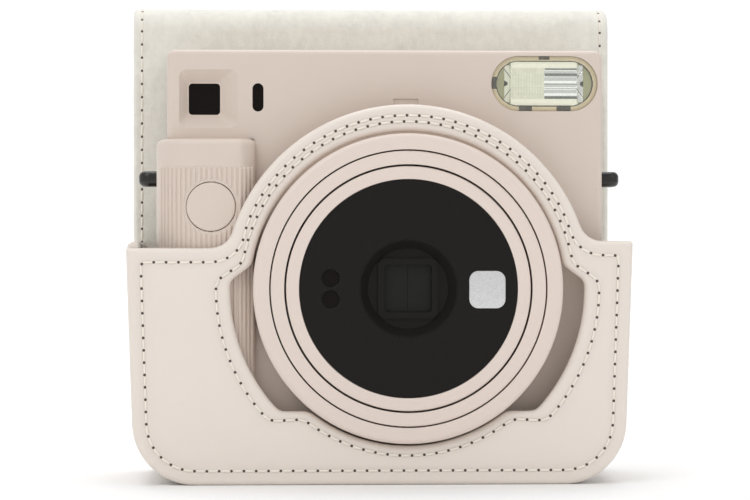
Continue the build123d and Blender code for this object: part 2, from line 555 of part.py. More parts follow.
with BuildPart() as film_cartridge:
    block(PACK_X0, PACK_X1, PACK_Y0, PACK_Y1, PACK_Z0, PACK_Z1)
    fillet(film_cartridge.edges().filter_by(Axis.Y), 1.5)
    block(PACK_X0 + 1.2, PACK_X1 - 1.2, PACK_Y0 + 1.2, PACK_Y1 - 1.2, PACK_Z0 + 1.2, PACK_Z1 - 1.2,
          mode=Mode.SUBTRACT)
    block(LENS_X - IMAGE_SIDE / 2, LENS_X + IMAGE_SIDE / 2, PACK_Y0, PACK_Y0 + 1.2, LENS_Z - IMAGE_SIDE / 2,
          LENS_Z + IMAGE_SIDE / 2, mode=Mode.SUBTRACT)
    block(LENS_X - FILM_SLOT / 2, LENS_X + FILM_SLOT / 2, PACK_Y0 + 1.2, PACK_Y0 + 2.6, PACK_Z1 - 1.2, PACK_Z1,
          mode=Mode.SUBTRACT)
film_cartridge.part.label = "film_cartridge"

with BuildPart() as film_sheets:
    block(LENS_X - SHEET_WIDTH / 2, LENS_X + SHEET_WIDTH / 2, PACK_Y0 + 1.3, PACK_Y0 + 1.3 + SHEET_STACK,
          PACK_Z0 + 1.5, PACK_Z0 + 1.5 + SHEET_HEIGHT)
film_sheets.part.label = "film_sheets"


def roller(y, phase):
    """A film roller with its two journals and, outside the right bracket, its gear."""
    rod_x(ROLLER_RADIUS, ROLLER_X0, ROLLER_X1, y, ROLLER_Z)
    rod_x(1.5, ROLLER_X0 - 2.2, ROLLER_X1 + 3.0, y, ROLLER_Z)
    toothed_wheel(47.7, 50.0, y, GEAR_PITCH_RADIUS, GEAR_TEETH, phase)


with BuildPart() as roller_front:
    roller(ROLLER_Y0, 0)
roller_front.part.label = "roller_front"

with BuildPart() as roller_rear:
    roller(ROLLER_Y1, 180 / GEAR_TEETH)
roller_rear.part.label = "roller_rear"

with BuildPart() as roller_brackets:
    for x0 in (ROLLER_X0 - 2.1, ROLLER_X1 + 0.5):
        block(x0, x0 + 1.6, ROLLER_Y0 - 4.0, ROLLER_Y1 + 4.0, 110.4, 118.4)
    for y in (ROLLER_Y0, ROLLER_Y1):
        rod_x(1.55, ROLLER_X0 - 3.0, ROLLER_X1 + 3.0, y, ROLLER_Z, mode=Mode.SUBTRACT)
roller_brackets.part.label = "roller_brackets"

with BuildPart() as drive_motor:
    rod_x(4.6, 51.0, 62.6, PINION_Y, ROLLER_Z)
    rod_x(1.02, 51.0, 62.6, PINION_Y, ROLLER_Z, mode=Mode.SUBTRACT)
drive_motor.part.label = "drive_motor"

with BuildPart() as motor_pinion:
    toothed_wheel(47.9, 49.8, PINION_Y, PINION_PITCH_RADIUS, PINION_TEETH, 180 / PINION_TEETH)
    rod_x(0.95, 49.8, 62.0, PINION_Y, ROLLER_Z)
motor_pinion.part.label = "motor_pinion"

# ---------------------------------------------------------------- film door, latch and counter

with BuildPart() as film_door:
    block(DOOR_X0, DOOR_X1, DOOR_Y, BODY_BACK, DOOR_Z0, DOOR_Z1)
    fillet(film_door.edges().filter_by(Axis.Y).group_by(Axis.X)[0], 2.0)
    for z0, z1 in ((17.3, 60.7), (67.3, 110.7)):
        block(DOOR_X1, HINGE_X, DOOR_Y, HINGE_Y + 2.0, z0, z1)
        rod_z(2.0, z0, z1, HINGE_X, HINGE_Y)
        rod_z(PIN_RADIUS + 0.05, z0, z1, HINGE_X, HINGE_Y, mode=Mode.SUBTRACT)
    block(DOOR_WINDOW_X - 3.5, DOOR_WINDOW_X + 3.5, DOOR_Y, BODY_BACK, DOOR_WINDOW_Z - 8, DOOR_WINDOW_Z + 8,
          mode=Mode.SUBTRACT)
film_door.part.label = "film_door"

with BuildPart() as film_door_window:
    block(DOOR_WINDOW_X - 3.5, DOOR_WINDOW_X + 3.5, DOOR_Y + 0.8, BODY_BACK - 0.3, DOOR_WINDOW_Z - 8,
          DOOR_WINDOW_Z + 8)
film_door_window.part.label = "film_door_window"

with BuildPart() as film_door_hinge_pin:
    rod_z(PIN_RADIUS, DOOR_Z0 - 0.2, DOOR_Z1 + 0.2, HINGE_X, HINGE_Y)
film_door_hinge_pin.part.label = "film_door_hinge_pin"

with BuildPart() as film_door_latch:
    block(-50.0, -43.0, BODY_BACK + 0.05, BODY_BACK + 1.3, 53.0, 65.0)
    fillet(film_door_latch.faces().sort_by(Axis.Y)[-1].edges(), 0.5)
    block(-47.5, -45.5, BODY_BACK - WALL - 0.05, BODY_BACK + 0.05, 54.0, 66.0)
    block(-49.5, -38.3, BODY_BACK - WALL - 1.3, BODY_BACK - WALL - 0.05, 54.0, 65.0)
film_door_latch.part.label = "film_door_latch"

with BuildPart() as film_counter_dial:
    disc(7.6, 20.0, 21.2, COUNTER_X, COUNTER_Z)
    disc(1.45, 20.0, 21.2, COUNTER_X, COUNTER_Z, mode=Mode.SUBTRACT)
film_counter_dial.part.label = "film_counter_dial"

with BuildPart() as strap_lugs:
    for side, face, reach in ((-1, GRIP_LEFT, LUG_LEFT_REACH), (1, BODY_RIGHT, LUG_RIGHT_REACH)):
        tip = face + side * reach
        inside = BODY_LEFT + WALL if side < 0 else BODY_RIGHT - WALL
        block(min(face, tip), max(face, tip), -4.5, 4.5, LUG_Z - LUG_HEIGHT / 2, LUG_Z + LUG_HEIGHT / 2)
        rod_x(LUG_STEM, min(face, inside), max(face, inside), 0, LUG_Z)
        rod_x(3.6, min(inside, inside - side * 1.2), max(inside, inside - side * 1.2), 0, LUG_Z)
    ends = strap_lugs.edges().filter_by(Axis.Z)
    fillet(ends.group_by(Axis.X)[0] + ends.group_by(Axis.X)[-1], 3.0)
    rims = [e for f in strap_lugs.faces().filter_by(Axis.Z) for e in f.edges()]
    outer = [e for e in rims if e.center().X < GRIP_LEFT - 0.1 or e.center().X > BODY_RIGHT + 0.1]
    fillet(outer, LUG_ROUND)
    for x in (GRIP_LEFT - LUG_LEFT_REACH + 2.9, BODY_RIGHT + LUG_RIGHT_REACH - 2.9):
        rod_z(LUG_BORE, LUG_Z - LUG_HEIGHT / 2, LUG_Z + LUG_HEIGHT / 2, x, 0, mode=Mode.SUBTRACT)
strap_lugs.part.label = "strap_lugs"

# ---------------------------------------------------------------- leather case

with BuildSketch(mode=Mode.PRIVATE) as lens_opening:
    Circle(OPENING_RADIUS)
    for side in (-1, 1):
        with BuildLine():
            low_x = (SIDE_WINDOW_RADIUS**2 - 35.1**2) ** 0.5
            Polyline((side * 20, 6.7), (side * 44.5, 6.7), (side * 50.75, 2.2))
            ThreePointArc(
                (side * 50.75, 2.2),
                (side * SIDE_WINDOW_RADIUS * cos(radians(20)), -SIDE_WINDOW_RADIUS * sin(radians(20))),
                (side * low_x, -35.1),
            )
            Polyline((side * low_x, -35.1), (side * 20, -35.1), (side * 20, 6.7))
        make_face()
    sharp = [v for v in lens_opening.vertices() if Vector(v.X, v.Y).length > OPENING_RADIUS + 0.5]
    fillet(sharp, 2.4)

with BuildPart() as case_front_panel:
    with BuildSketch(facing(PANEL_BACK)) as front:
        add(case_outline(SHOULDER_LEFT, SHOULDER_RIGHT))
        with Locations((LENS_X, LENS_Z)):
            Circle(ARCH_RADIUS)
        waist = [v for v in front.vertices() if abs(Vector(v.X - LENS_X, v.Y - LENS_Z).length - ARCH_RADIUS) < 0.01]
        fillet([v for v in waist if v.Y > SHOULDER_LEFT - 1], 6.5)
        with Locations((LENS_X, LENS_Z)):
            add(lens_opening.sketch, mode=Mode.SUBTRACT)
    extrude(amount=PANEL_BACK - PANEL_FRONT)
    fillet(case_front_panel.faces().sort_by(Axis.Y)[0].outer_wire().edges(), 0.8)
case_front_panel.part.label = "case_front_panel"

with BuildPart() as case_gusset:
    with BuildSketch(facing(GUSSET_BACK)) as strip:
        add(case_outline(SHOULDER_LEFT, SHOULDER_RIGHT))
        offset(case_outline(SHOULDER_RIGHT + 9, SHOULDER_RIGHT + 9), amount=-GUSSET_THICK, mode=Mode.SUBTRACT)
    extrude(amount=GUSSET_BACK - PANEL_BACK)
    # flange that the back panel is pressed on to
    block(-69.6, -60.5, BODY_BACK + 0.3, GUSSET_BACK, 16.0, 66.0)
    for z in STUD_HEIGHTS:
        disc(2.7, BODY_BACK + 0.3, GUSSET_BACK, STUD_X, z, mode=Mode.SUBTRACT)
case_gusset.part.label = "case_gusset"

with BuildPart() as press_stud_sockets:
    for z in STUD_HEIGHTS:
        disc(2.65, BODY_BACK + 0.4, GUSSET_BACK, STUD_X, z)
        disc(1.7, BODY_BACK + 0.4, GUSSET_BACK, STUD_X, z, mode=Mode.SUBTRACT)
press_stud_sockets.part.label = "press_stud_sockets"

with BuildPart() as case_bottom_board:
    block(-52.0, 52.0, PANEL_BACK + 0.1, GUSSET_BACK - 0.1, GUSSET_THICK, BODY_BOTTOM)
case_bottom_board.part.label = "case_bottom_board"

with BuildPart() as case_back_panel:
    with BuildSketch(facing(BACK_Y + LEATHER / 2)):
        add(case_outline(SHOULDER_RIGHT, SHOULDER_RIGHT))
        with Locations((0, (60 + RISER_HINGE_Z - BEND_GAP) / 2)):
            Rectangle(2 * CASE_TOP_HALF, RISER_HINGE_Z - BEND_GAP - 60)
        with Locations((0, BACK_BOTTOM / 2 - 1)):
            Rectangle(200, BACK_BOTTOM + 2, mode=Mode.SUBTRACT)
        # cut-outs for the eyepiece, the pack window, the counter and the latch
        with Locations((FINDER_X, FINDER_Z)):
            RectangleRounded(15.0, 15.0, 2.0, mode=Mode.SUBTRACT)
        with Locations((DOOR_WINDOW_X, DOOR_WINDOW_Z)):
            RectangleRounded(9.0, 18.0, 2.0, mode=Mode.SUBTRACT)
        with Locations((COUNTER_X, COUNTER_Z + 5.0)):
            Circle(4.5, mode=Mode.SUBTRACT)
    extrude(amount=LEATHER)
    for z in STUD_HEIGHTS:
        disc(1.55, BACK_Y - LEATHER / 2, BACK_Y + LEATHER / 2, STUD_X, z, mode=Mode.SUBTRACT)
case_back_panel.part.label = "case_back_panel"

with BuildPart() as press_stud_caps:
    for z in STUD_HEIGHTS:
        disc(4.8, BACK_Y + LEATHER / 2, BACK_Y + LEATHER / 2 + 1.1, STUD_X, z)
        disc(1.5, GUSSET_BACK - 0.9, BACK_Y + LEATHER / 2, STUD_X, z)
    fillet(press_stud_caps.faces().filter_by(Axis.Y).group_by(Axis.Y)[-1].edges(), 0.7)
press_stud_caps.part.label = "press_stud_caps"

with BuildPart() as flap_riser:
    block(-CASE_TOP_HALF, CASE_TOP_HALF, BACK_Y - LEATHER / 2, BACK_Y + LEATHER / 2, RISER_HINGE_Z + BEND_GAP, FOLD_Z)
    fold_arc(0, 30 - GAP_ANGLE)
flap_riser.part.label = "flap_riser"

with BuildPart() as fold_strip_1:
    fold_arc(30 + GAP_ANGLE, 90 - GAP_ANGLE)
fold_strip_1.part.label = "fold_strip_1"

with BuildPart() as fold_strip_2:
    fold_arc(90 + GAP_ANGLE, 150 - GAP_ANGLE)
fold_strip_2.part.label = "fold_strip_2"

with BuildPart() as case_flap:
    fold_arc(150 + GAP_ANGLE, 180)
    block(-CASE_TOP_HALF, CASE_TOP_HALF, FLAP_Y - LEATHER / 2, FLAP_Y + LEATHER / 2, LIP_HINGE_Z + BEND_GAP, FOLD_Z)
case_flap.part.label = "case_flap"

with BuildPart() as case_flap_lip:
    block(-CASE_TOP_HALF, CASE_TOP_HALF, FLAP_Y - LEATHER / 2, FLAP_Y + LEATHER / 2, LIP_HINGE_Z - LIP_LENGTH,
          LIP_HINGE_Z - BEND_GAP)
    fillet(case_flap_lip.edges().filter_by(Axis.Y).group_by(Axis.Z)[0], 9.0)
case_flap_lip.part.label = "case_flap_lip"

os.makedirs("parts", exist_ok=True)
for piece in (
    front_shell, rear_shell, body_screws, grip_cover, shutter_button, shutter_button_spring, shutter_switch,
    battery_tray, batteries, battery_contacts, battery_door, lens_guide_tube, mode_ring, outer_barrel,
    inner_barrel, lens_face_plate, selfie_mirror, light_sensor_windows, lens_hood, barrier_leaf_left,
    barrier_leaf_right, lens_cell, front_lens_element, rear_lens_element, shutter_blade, viewfinder_window,
    viewfinder_tunnel, viewfinder_eyepiece, meter_window, flash_bezel, flash_window, flash_reflector,
    flash_tube, flash_capacitor, main_board, film_gate, film_cartridge, film_sheets, roller_front,
    roller_rear, roller_brackets, drive_motor, motor_pinion, film_door, film_door_window,
    film_door_hinge_pin, film_door_latch, film_counter_dial, strap_lugs, case_front_panel, case_gusset,
    press_stud_sockets, case_bottom_board, case_back_panel, press_stud_caps, flap_riser, fold_strip_1,
    fold_strip_2, case_flap, case_flap_lip,
):
    export_step(piece.part, f"parts/{piece.part.label}.step")
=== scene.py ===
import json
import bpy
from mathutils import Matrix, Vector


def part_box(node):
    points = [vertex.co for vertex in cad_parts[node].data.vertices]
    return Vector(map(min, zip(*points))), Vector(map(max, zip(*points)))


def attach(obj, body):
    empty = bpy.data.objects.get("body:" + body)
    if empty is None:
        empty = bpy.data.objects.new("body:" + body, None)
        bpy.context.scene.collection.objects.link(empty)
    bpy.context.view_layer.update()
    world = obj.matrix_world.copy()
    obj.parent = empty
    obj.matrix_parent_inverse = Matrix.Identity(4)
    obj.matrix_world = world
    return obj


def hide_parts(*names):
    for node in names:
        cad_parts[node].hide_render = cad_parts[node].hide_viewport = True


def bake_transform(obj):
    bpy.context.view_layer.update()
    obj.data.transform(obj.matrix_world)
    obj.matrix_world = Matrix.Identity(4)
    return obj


bl_info = {
    "name": "Instant Camera in its Leather Case",
    "version": (1, 0, 0),
    "blender": (4, 5, 0),
    "location": "3D View > Sidebar > Instant Camera",
    "description": "Dresses the instant camera's frame: moulded shells, ribbed grip, flash and stitched leather case",
    "category": "Object",
}

import bpy
import numpy as np
from mathutils import Vector

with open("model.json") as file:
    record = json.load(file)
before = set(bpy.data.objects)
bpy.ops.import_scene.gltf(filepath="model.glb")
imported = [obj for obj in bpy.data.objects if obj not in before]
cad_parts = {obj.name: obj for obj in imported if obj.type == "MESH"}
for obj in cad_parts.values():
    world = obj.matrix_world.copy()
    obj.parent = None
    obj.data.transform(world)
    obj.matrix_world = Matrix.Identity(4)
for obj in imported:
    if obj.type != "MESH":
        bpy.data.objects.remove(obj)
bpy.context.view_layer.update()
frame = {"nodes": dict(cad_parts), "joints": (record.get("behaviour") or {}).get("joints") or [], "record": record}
NODES = frame["nodes"]

MM = 0.001
TAU = 2 * np.pi


def corners(node):
    """A node's lowest and highest corners, in millimetres."""
    low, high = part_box(node)
    return np.array(low) / MM, np.array(high) / MM


def middle(node):
    """The middle of a node's box, in millimetres."""
    low, high = corners(node)
    return (low + high) / 2


LENS_X, _, LENS_Z = middle("mode_ring")
PANEL_LOW, PANEL_HIGH = corners("case_front_panel")
GUSSET_LOW, GUSSET_HIGH = corners("case_gusset")
BACK_LOW, BACK_HIGH = corners("case_back_panel")
FLAP_LOW, FLAP_HIGH = corners("case_flap")
LIP_LOW, LIP_HIGH = corners("case_flap_lip")
GRIP_LOW, GRIP_HIGH = corners("grip_cover")
JOINTS = {joint["name"]: joint for joint in frame["joints"]}


def hinge_point(name):
    """Where a hinge stands, in millimetres."""
    return np.array(JOINTS[name]["pos_m"]) / MM


# ------------------------------------------------------------------ settings


class CaseSettings(bpy.types.PropertyGroup):
    """Sizes of the leather case's details."""

    base_half: bpy.props.FloatProperty(
        name="Base half width", description="Half the case's width where its sides meet the base, in mm", default=70.2
    )
    corner: bpy.props.FloatProperty(
        name="Lower corners", description="Radius of the case's lower corners, in mm", default=18.0
    )
    shoulder_left: bpy.props.FloatProperty(
        name="Left shoulder", description="Height of the front panel's left shoulder, in mm", default=67.7
    )
    arch: bpy.props.FloatProperty(
        name="Arch radius", description="Radius of the arch over the lens, in mm", default=52.7
    )
    opening: bpy.props.FloatProperty(
        name="Lens opening", description="Radius of the round lens opening, in mm", default=45.0
    )
    side_window: bpy.props.FloatProperty(
        name="Side windows", description="Outer radius of the two openings beside the lens, in mm", default=50.8
    )
    edge_round: bpy.props.FloatProperty(
        name="Edge rounding", description="Radius of the leather's turned edges, in mm", default=1.5
    )
    stitch_pitch: bpy.props.FloatProperty(
        name="Stitch pitch", description="Distance from one needle hole to the next, in mm", default=3.5
    )
    thread: bpy.props.FloatProperty(name="Thread", description="Thickness of the sewing thread, in mm", default=0.62)
    leather_colour: bpy.props.FloatVectorProperty(
        name="Leather", description="Colour of the case's leather", subtype="COLOR", default=(0.82, 0.745, 0.68)
    )
    lining_colour: bpy.props.FloatVectorProperty(
        name="Lining", description="Colour of the suede lining", subtype="COLOR", default=(0.80, 0.785, 0.72)
    )


class CameraSettings(bpy.types.PropertyGroup):
    """Sizes and colours of the camera's details."""

    rib_pitch: bpy.props.FloatProperty(
        name="Rib pitch", description="Distance between the grip's ribs along its surface, in mm", default=1.47
    )
    rib_radius: bpy.props.FloatProperty(name="Rib width", description="Half the width of each rib, in mm", default=0.55)
    rib_height: bpy.props.FloatProperty(
        name="Rib height", description="How far each rib stands out, in mm", default=0.42
    )
    body_colour: bpy.props.FloatVectorProperty(
        name="Body", description="Colour of the moulded shells", subtype="COLOR", default=(0.70, 0.60, 0.53)
    )
    ring_colour: bpy.props.FloatVectorProperty(
        name="Lens rings", description="Colour of the dial and barrels", subtype="COLOR", default=(0.77, 0.665, 0.60)
    )
    face_colour: bpy.props.FloatVectorProperty(
        name="Lens face", description="Colour of the black lens face", subtype="COLOR", default=(0.013, 0.012, 0.011)
    )


# ------------------------------------------------------------------ shader maths


class Value:
    """A node socket that adds Math nodes when it is used in an expression."""

    def __init__(self, maker, socket):
        self.maker = maker
        self.socket = socket

    def _math(self, operation, *others, clamp=False):
        inputs = {index: other for index, other in enumerate((self, *others))}
        return self.maker.node("ShaderNodeMath", {"operation": operation, "use_clamp": clamp}, inputs).out(0)

    def __add__(self, other):
        return self._math("ADD", other)

    __radd__ = __add__

    def __mul__(self, other):
        return self._math("MULTIPLY", other)

    __rmul__ = __mul__

    def __sub__(self, other):
        return self._math("SUBTRACT", other)

    def __rsub__(self, other):
        return self._math("MULTIPLY", -1)._math("ADD", other)

    def clamp(self):
        return self._math("ADD", 0.0, clamp=True)

    def above(self, limit):
        return self._math("GREATER_THAN", limit)

    def ramp(self, low, high):
        """0 below low, 1 above high, smooth between."""
        settings = {"interpolation_type": "SMOOTHSTEP"}
        return self.maker.node("ShaderNodeMapRange", settings, {0: self, 1: low, 2: high, 3: 0.0, 4: 1.0}).out(0)


class Placed:
    """A node that has been added, whose outputs are wrapped as values."""

    def __init__(self, maker, node):
        self.maker = maker
        self.node = node

    def out(self, key):
        return Value(self.maker, self.node.outputs[key])


class Finish:
    """Builds one material around a Principled shader."""

    def __init__(self, name, **constants):
        self.material = bpy.data.materials.new(name)
        self.material.use_nodes = True
        self.tree = self.material.node_tree
        self.shader = self.tree.nodes["Principled BSDF"]
        for key, value in constants.items():
            socket = self.shader.inputs[key.replace("_", " ")]
            socket.default_value = (*value, 1.0) if hasattr(value, "__len__") and len(value) == 3 else value

    def node(self, kind, settings=None, inputs=None):
        node = self.tree.nodes.new(kind)
        for key, value in (settings or {}).items():
            setattr(node, key, value)
        for key, value in (inputs or {}).items():
            self.join(value, node.inputs[key])
        return Placed(self, node)

    def join(self, value, socket):
        if isinstance(value, Value):
            self.tree.links.new(value.socket, socket)
        elif hasattr(value, "__len__") and len(value) == 3 and socket.type == "RGBA":
            socket.default_value = (*value, 1.0)
        else:
            socket.default_value = value

    def place(self):
        """Object coordinates."""
        return self.node("ShaderNodeTexCoord").out("Object")

    def axes(self):
        """The three object coordinates, one by one, in millimetres."""
        split = self.node("ShaderNodeSeparateXYZ", inputs={0: self.place()})
        return [split.out(index) * 1000.0 for index in range(3)]

    def noise(self, grain_mm, detail=3.0, roughness=0.55, stretch=None):
        """Noise whose features are about grain_mm across."""
        place = self.place()
        if stretch:
            place = self.node("ShaderNodeMapping", inputs={"Vector": place, "Scale": stretch}).out(0)
        inputs = {"Vector": place, "Scale": 1.0 / (grain_mm * MM), "Detail": detail, "Roughness": roughness}
        return self.node("ShaderNodeTexNoise", inputs=inputs).out(0)

    def cells(self, size_mm, feature="F1"):
        """Distances in a cellular pattern of size_mm, for grain and pores."""
        inputs = {"Vector": self.place(), "Scale": 1.0 / (size_mm * MM)}
        return self.node("ShaderNodeTexVoronoi", {"feature": feature}, inputs).out("Distance")

    def blend(self, factor, low, high):
        """A colour that goes from low to high with factor."""
        mix = self.tree.nodes.new("ShaderNodeMix")
        mix.data_type = "RGBA"
        self.join(factor, mix.inputs[0])
        self.join(low, mix.inputs[6])
        self.join(high, mix.inputs[7])
        return Value(self, mix.outputs[2])

    def bump(self, height, depth_mm, strength=1.0):
        """Feeds the shader's normal from a height of 0 to 1."""
        inputs = {"Height": height, "Distance": depth_mm * MM, "Strength": strength}
        self.set(Normal=self.node("ShaderNodeBump", inputs=inputs).out(0))
        return self

    def set(self, **links):
        for key, value in links.items():
            self.join(value, self.shader.inputs[key.replace("_", " ")])
        return self


def shade(colour, factor):
    """A colour made lighter or darker."""
    return tuple(min(1.0, part * factor) for part in colour)


def moulded(name, colour, roughness=0.42, texture_mm=0.22, depth_mm=0.012, shine=0.4):
    """Injection-moulded plastic: a fine spark-eroded texture and the faintest mottling."""
    finish = Finish(name, Roughness=roughness, IOR=1.46, Specular_IOR_Level=shine)
    mottle = finish.noise(9.0, 2.0)
    grain = finish.noise(texture_mm, 2.0, 0.6)
    finish.set(Base_Color=finish.blend(mottle, shade(colour, 0.985), shade(colour, 1.015)))
    finish.set(Roughness=grain * 0.10 + (roughness - 0.05))
    return finish.bump(grain, depth_mm, 0.6).material


def metal(name, colour, roughness=0.3, brushed=None):
    """Bare or plated metal, brushed along one axis when asked."""
    finish = Finish(name, Metallic=1.0)
    streaks = finish.noise(0.5, 3.0, 0.6, stretch=brushed or (1, 1, 1))
    finish.set(Base_Color=finish.blend(streaks, shade(colour, 0.9), shade(colour, 1.08)))
    finish.set(Roughness=streaks * 0.15 + (roughness - 0.07))
    return finish.bump(streaks, 0.01, 0.4).material


def gloss(name, colour, roughness=0.08, **constants):
    """Polished plastic with a little dust in its shine."""
    finish = Finish(name, IOR=1.5, **constants)
    dust = finish.noise(1.4, 4.0, 0.7)
    finish.set(Base_Color=finish.blend(dust, shade(colour, 0.92), shade(colour, 1.08)))
    finish.set(Roughness=dust * 0.06 + (roughness - 0.02))
    return finish.material


def leather(name, colour, seams=False):
    """Smooth coated leather: shallow pebbling, fine pores, creases along the seams, and painted shade that darkens the
    leather along the stitch grooves.
    """
    finish = Finish(name, IOR=1.45, Specular_IOR_Level=0.4)
    cloud = finish.noise(26.0, 3.0)
    patch = finish.noise(4.0, 3.0, 0.6)
    tone = finish.blend(cloud, shade(colour, 0.975), shade(colour, 1.02))
    tone = finish.blend(patch * 0.35, tone, shade(colour, 0.965))
    pebble = finish.cells(0.62)
    pores = finish.cells(0.34, "SMOOTH_F1")
    fine = finish.noise(0.16, 2.0, 0.6)
    height = pebble * 0.55 + pores * 0.25 + fine * 0.35
    if seams:
        near = finish.node("ShaderNodeAttribute", {"attribute_name": "seam"}).out("Fac")
        # painted shade: the leather is darkened by up to a tenth where the seam attribute marks the grooves under the
        # stitch rows
        tone = finish.blend(near * 0.5, tone, shade(colour, 0.90))
        pull = finish.noise(1.3, 3.0, 0.6)
        height = height + near * pull * 1.4
    finish.set(Base_Color=tone, Roughness=pores * 0.12 + patch * 0.08 + 0.34)
    return finish.bump(height, 0.05, 0.55).material


def suede(name, colour):
    """Brushed suede: a short mottled nap that catches the light in patches."""
    finish = Finish(name, Roughness=0.95, Sheen_Weight=0.3, Sheen_Roughness=0.5, Specular_IOR_Level=0.15)
    nap = finish.noise(0.5, 3.0, 0.7)
    strokes = finish.noise(2.3, 4.0, 0.7, stretch=(1.0, 1.0, 0.6))
    cloud = finish.noise(9.0, 3.0, 0.6)
    tone = finish.blend((strokes - 0.5) * 2.4 + 0.5, shade(colour, 0.90), shade(colour, 1.09))
    tone = finish.blend((nap - 0.5) * 1.6 + 0.5, finish.blend(0.5, tone, shade(colour, 0.84)), tone)
    tone = finish.blend((cloud - 0.35) * 1.2, tone, shade(colour, 1.14))
    finish.set(Base_Color=tone)
    return finish.bump(nap * 0.7 + strokes * 0.5, 0.18, 0.8).material


# ------------------------------------------------------------------ surfaces


def make_piece(name, points, faces, materials, material_index=None, attributes=None, smooth=True):
    """A mesh object from vertex and face arrays in millimetres. Faces are rows of three or four indices."""
    mesh = bpy.data.meshes.new(name)
    faces = np.asarray(faces, np.int32)
    mesh.vertices.add(len(points))
    mesh.vertices.foreach_set("co", (np.asarray(points, float) * MM).ravel())
    size = faces.shape[1]
    mesh.loops.add(faces.size)
    mesh.loops.foreach_set("vertex_index", faces.ravel())
    mesh.polygons.add(len(faces))
    mesh.polygons.foreach_set("loop_start", np.arange(0, faces.size, size, dtype=np.int32))
    mesh.polygons.foreach_set("loop_total", np.full(len(faces), size, np.int32))
    for material in materials:
        mesh.materials.append(material)
    if material_index is not None:
        mesh.polygons.foreach_set("material_index", np.asarray(material_index, np.int32))
    mesh.update(calc_edges=True)
    mesh.validate()
    mesh.polygons.foreach_set("use_smooth", np.full(len(mesh.polygons), smooth))
    for key, values in (attributes or {}).items():
        layer = mesh.attributes.new(key, "FLOAT", "POINT")
        layer.data.foreach_set("value", np.asarray(values, np.float32))
    piece = bpy.data.objects.new(name, mesh)
    bpy.context.scene.collection.objects.link(piece)
    return piece


def grid_faces(rows, columns, close_rows=False, close_columns=False, start=0):
    """Quads over a grid of points, wrapping round in either direction."""
    i = np.arange(rows if close_rows else rows - 1)[:, None]
    j = np.arange(columns if close_columns else columns - 1)[None, :]
    below, beside = (i + 1) % rows, (j + 1) % columns
    quads = np.stack(
        [i * columns + j, i * columns + beside, below * columns + beside, below * columns + j], axis=-1
    )
    return quads.reshape(-1, 4) + start


def closed_sum(values):
    return np.concatenate([[0.0], np.cumsum(values)])


def resample(path, step, closed=True):
    """A path's points respaced evenly, about step apart."""
    path = np.asarray(path, float)
    loop = np.vstack([path, path[:1]]) if closed else path
    along = closed_sum(np.linalg.norm(np.diff(loop, axis=0), axis=1))
    count = max(4, int(round(along[-1] / step)))
    at = np.linspace(0, along[-1], count, endpoint=not closed)
    return np.stack([np.interp(at, along, loop[:, k]) for k in range(loop.shape[1])], axis=1)


def soften(path, width, step, closed=True):
    """A path whose corners are rounded by a Gaussian of that width, in the path's own units."""
    reach = int(np.ceil(3 * width / step))
    offsets = np.arange(-reach, reach + 1)
    weights = np.exp(-0.5 * (offsets * step / width) ** 2)
    weights /= weights.sum()
    index = np.arange(len(path))[:, None] + offsets[None, :]
    index = index % len(path) if closed else np.clip(index, 0, len(path) - 1)
    return np.einsum("pkc,k->pc", path[index], weights)


def arc(centre, radius, start, end, count=60):
    """Points of an arc in the XZ plane, angles in degrees from +X towards +Z."""
    angles = np.radians(np.linspace(start, end, count))
    return np.stack([centre[0] + radius * np.cos(angles), centre[1] + radius * np.sin(angles)], axis=1)


def inward(path, closed=True):
    """Unit normals to the left of a path's direction: inwards for an anticlockwise loop."""
    if closed:
        ahead, behind = np.roll(path, -1, axis=0), np.roll(path, 1, axis=0)
    else:
        ahead, behind = np.vstack([path[1:], path[-1:]]), np.vstack([path[:1], path[:-1]])
    along = ahead - behind
    along /= np.linalg.norm(along, axis=1, keepdims=True)
    return np.stack([-along[:, 1], along[:, 0]], axis=1)


def rounded_corner(before, corner, after, radius, count=40):
    """The arc that rounds a corner between two straight runs."""
    before, corner, after = (np.asarray(p, float) for p in (before, corner, after))
    a = (before - corner) / np.linalg.norm(before - corner)
    b = (after - corner) / np.linalg.norm(after - corner)
    half = np.arccos(np.clip(a @ b, -1, 1)) / 2
    centre = corner + (a + b) / np.linalg.norm(a + b) * radius / np.sin(half)
    first, last = corner + a * radius / np.tan(half), corner + b * radius / np.tan(half)
    start, end = np.arctan2(*(first - centre)[::-1]), np.arctan2(*(last - centre)[::-1])
    turn = (end - start + np.pi) % TAU - np.pi
    angles = start + np.linspace(0, turn, count)
    return centre + radius * np.stack([np.cos(angles), np.sin(angles)], axis=1)


def distance_to(points, path):
    """Each point's distance to the nearest point of a path."""
    best = np.full(len(points), np.inf)
    for start in range(0, len(path), 64):
        part = path[start : start + 64]
        gap = points[:, None, :] - part[None, :, :]
        best = np.minimum(best, np.sqrt((gap**2).sum(-1)).min(axis=1))
    return best


# ------------------------------------------------------------------ outlines of the case


def lean(z, case):
    """The case's half width at a height: the sides lean out a little as they rise."""
    top = BACK_HIGH[0]
    return case.base_half + (top - case.base_half) * np.minimum(z, PANEL_SHOULDER) / PANEL_SHOULDER


PANEL_SHOULDER = GUSSET_HIGH[2]


def case_side(case, side, top):
    """One side of the case from its top corner down to the middle of its base."""
    head = (side * lean(top, case), top)
    foot = (side * case.base_half, 0.0)
    return head, rounded_corner(head, foot, (0.0, 0.0), case.corner)


def shoulder_and_waist(case, side, height):
    """Where a shoulder line meets the arch: a fillet tangent to both, worked out from their distances."""
    fillet = 6.5
    centre_z = height + fillet
    reach = case.arch + fillet
    centre_x = LENS_X + side * np.sqrt(reach**2 - (centre_z - LENS_Z) ** 2)
    to_arch = np.degrees(np.arctan2(LENS_Z - centre_z, LENS_X - centre_x))
    start = -90.0
    end = to_arch if side > 0 else to_arch
    turn = (end - start + 180) % 360 - 180
    return arc((centre_x, centre_z), fillet, start, start + turn, 24)


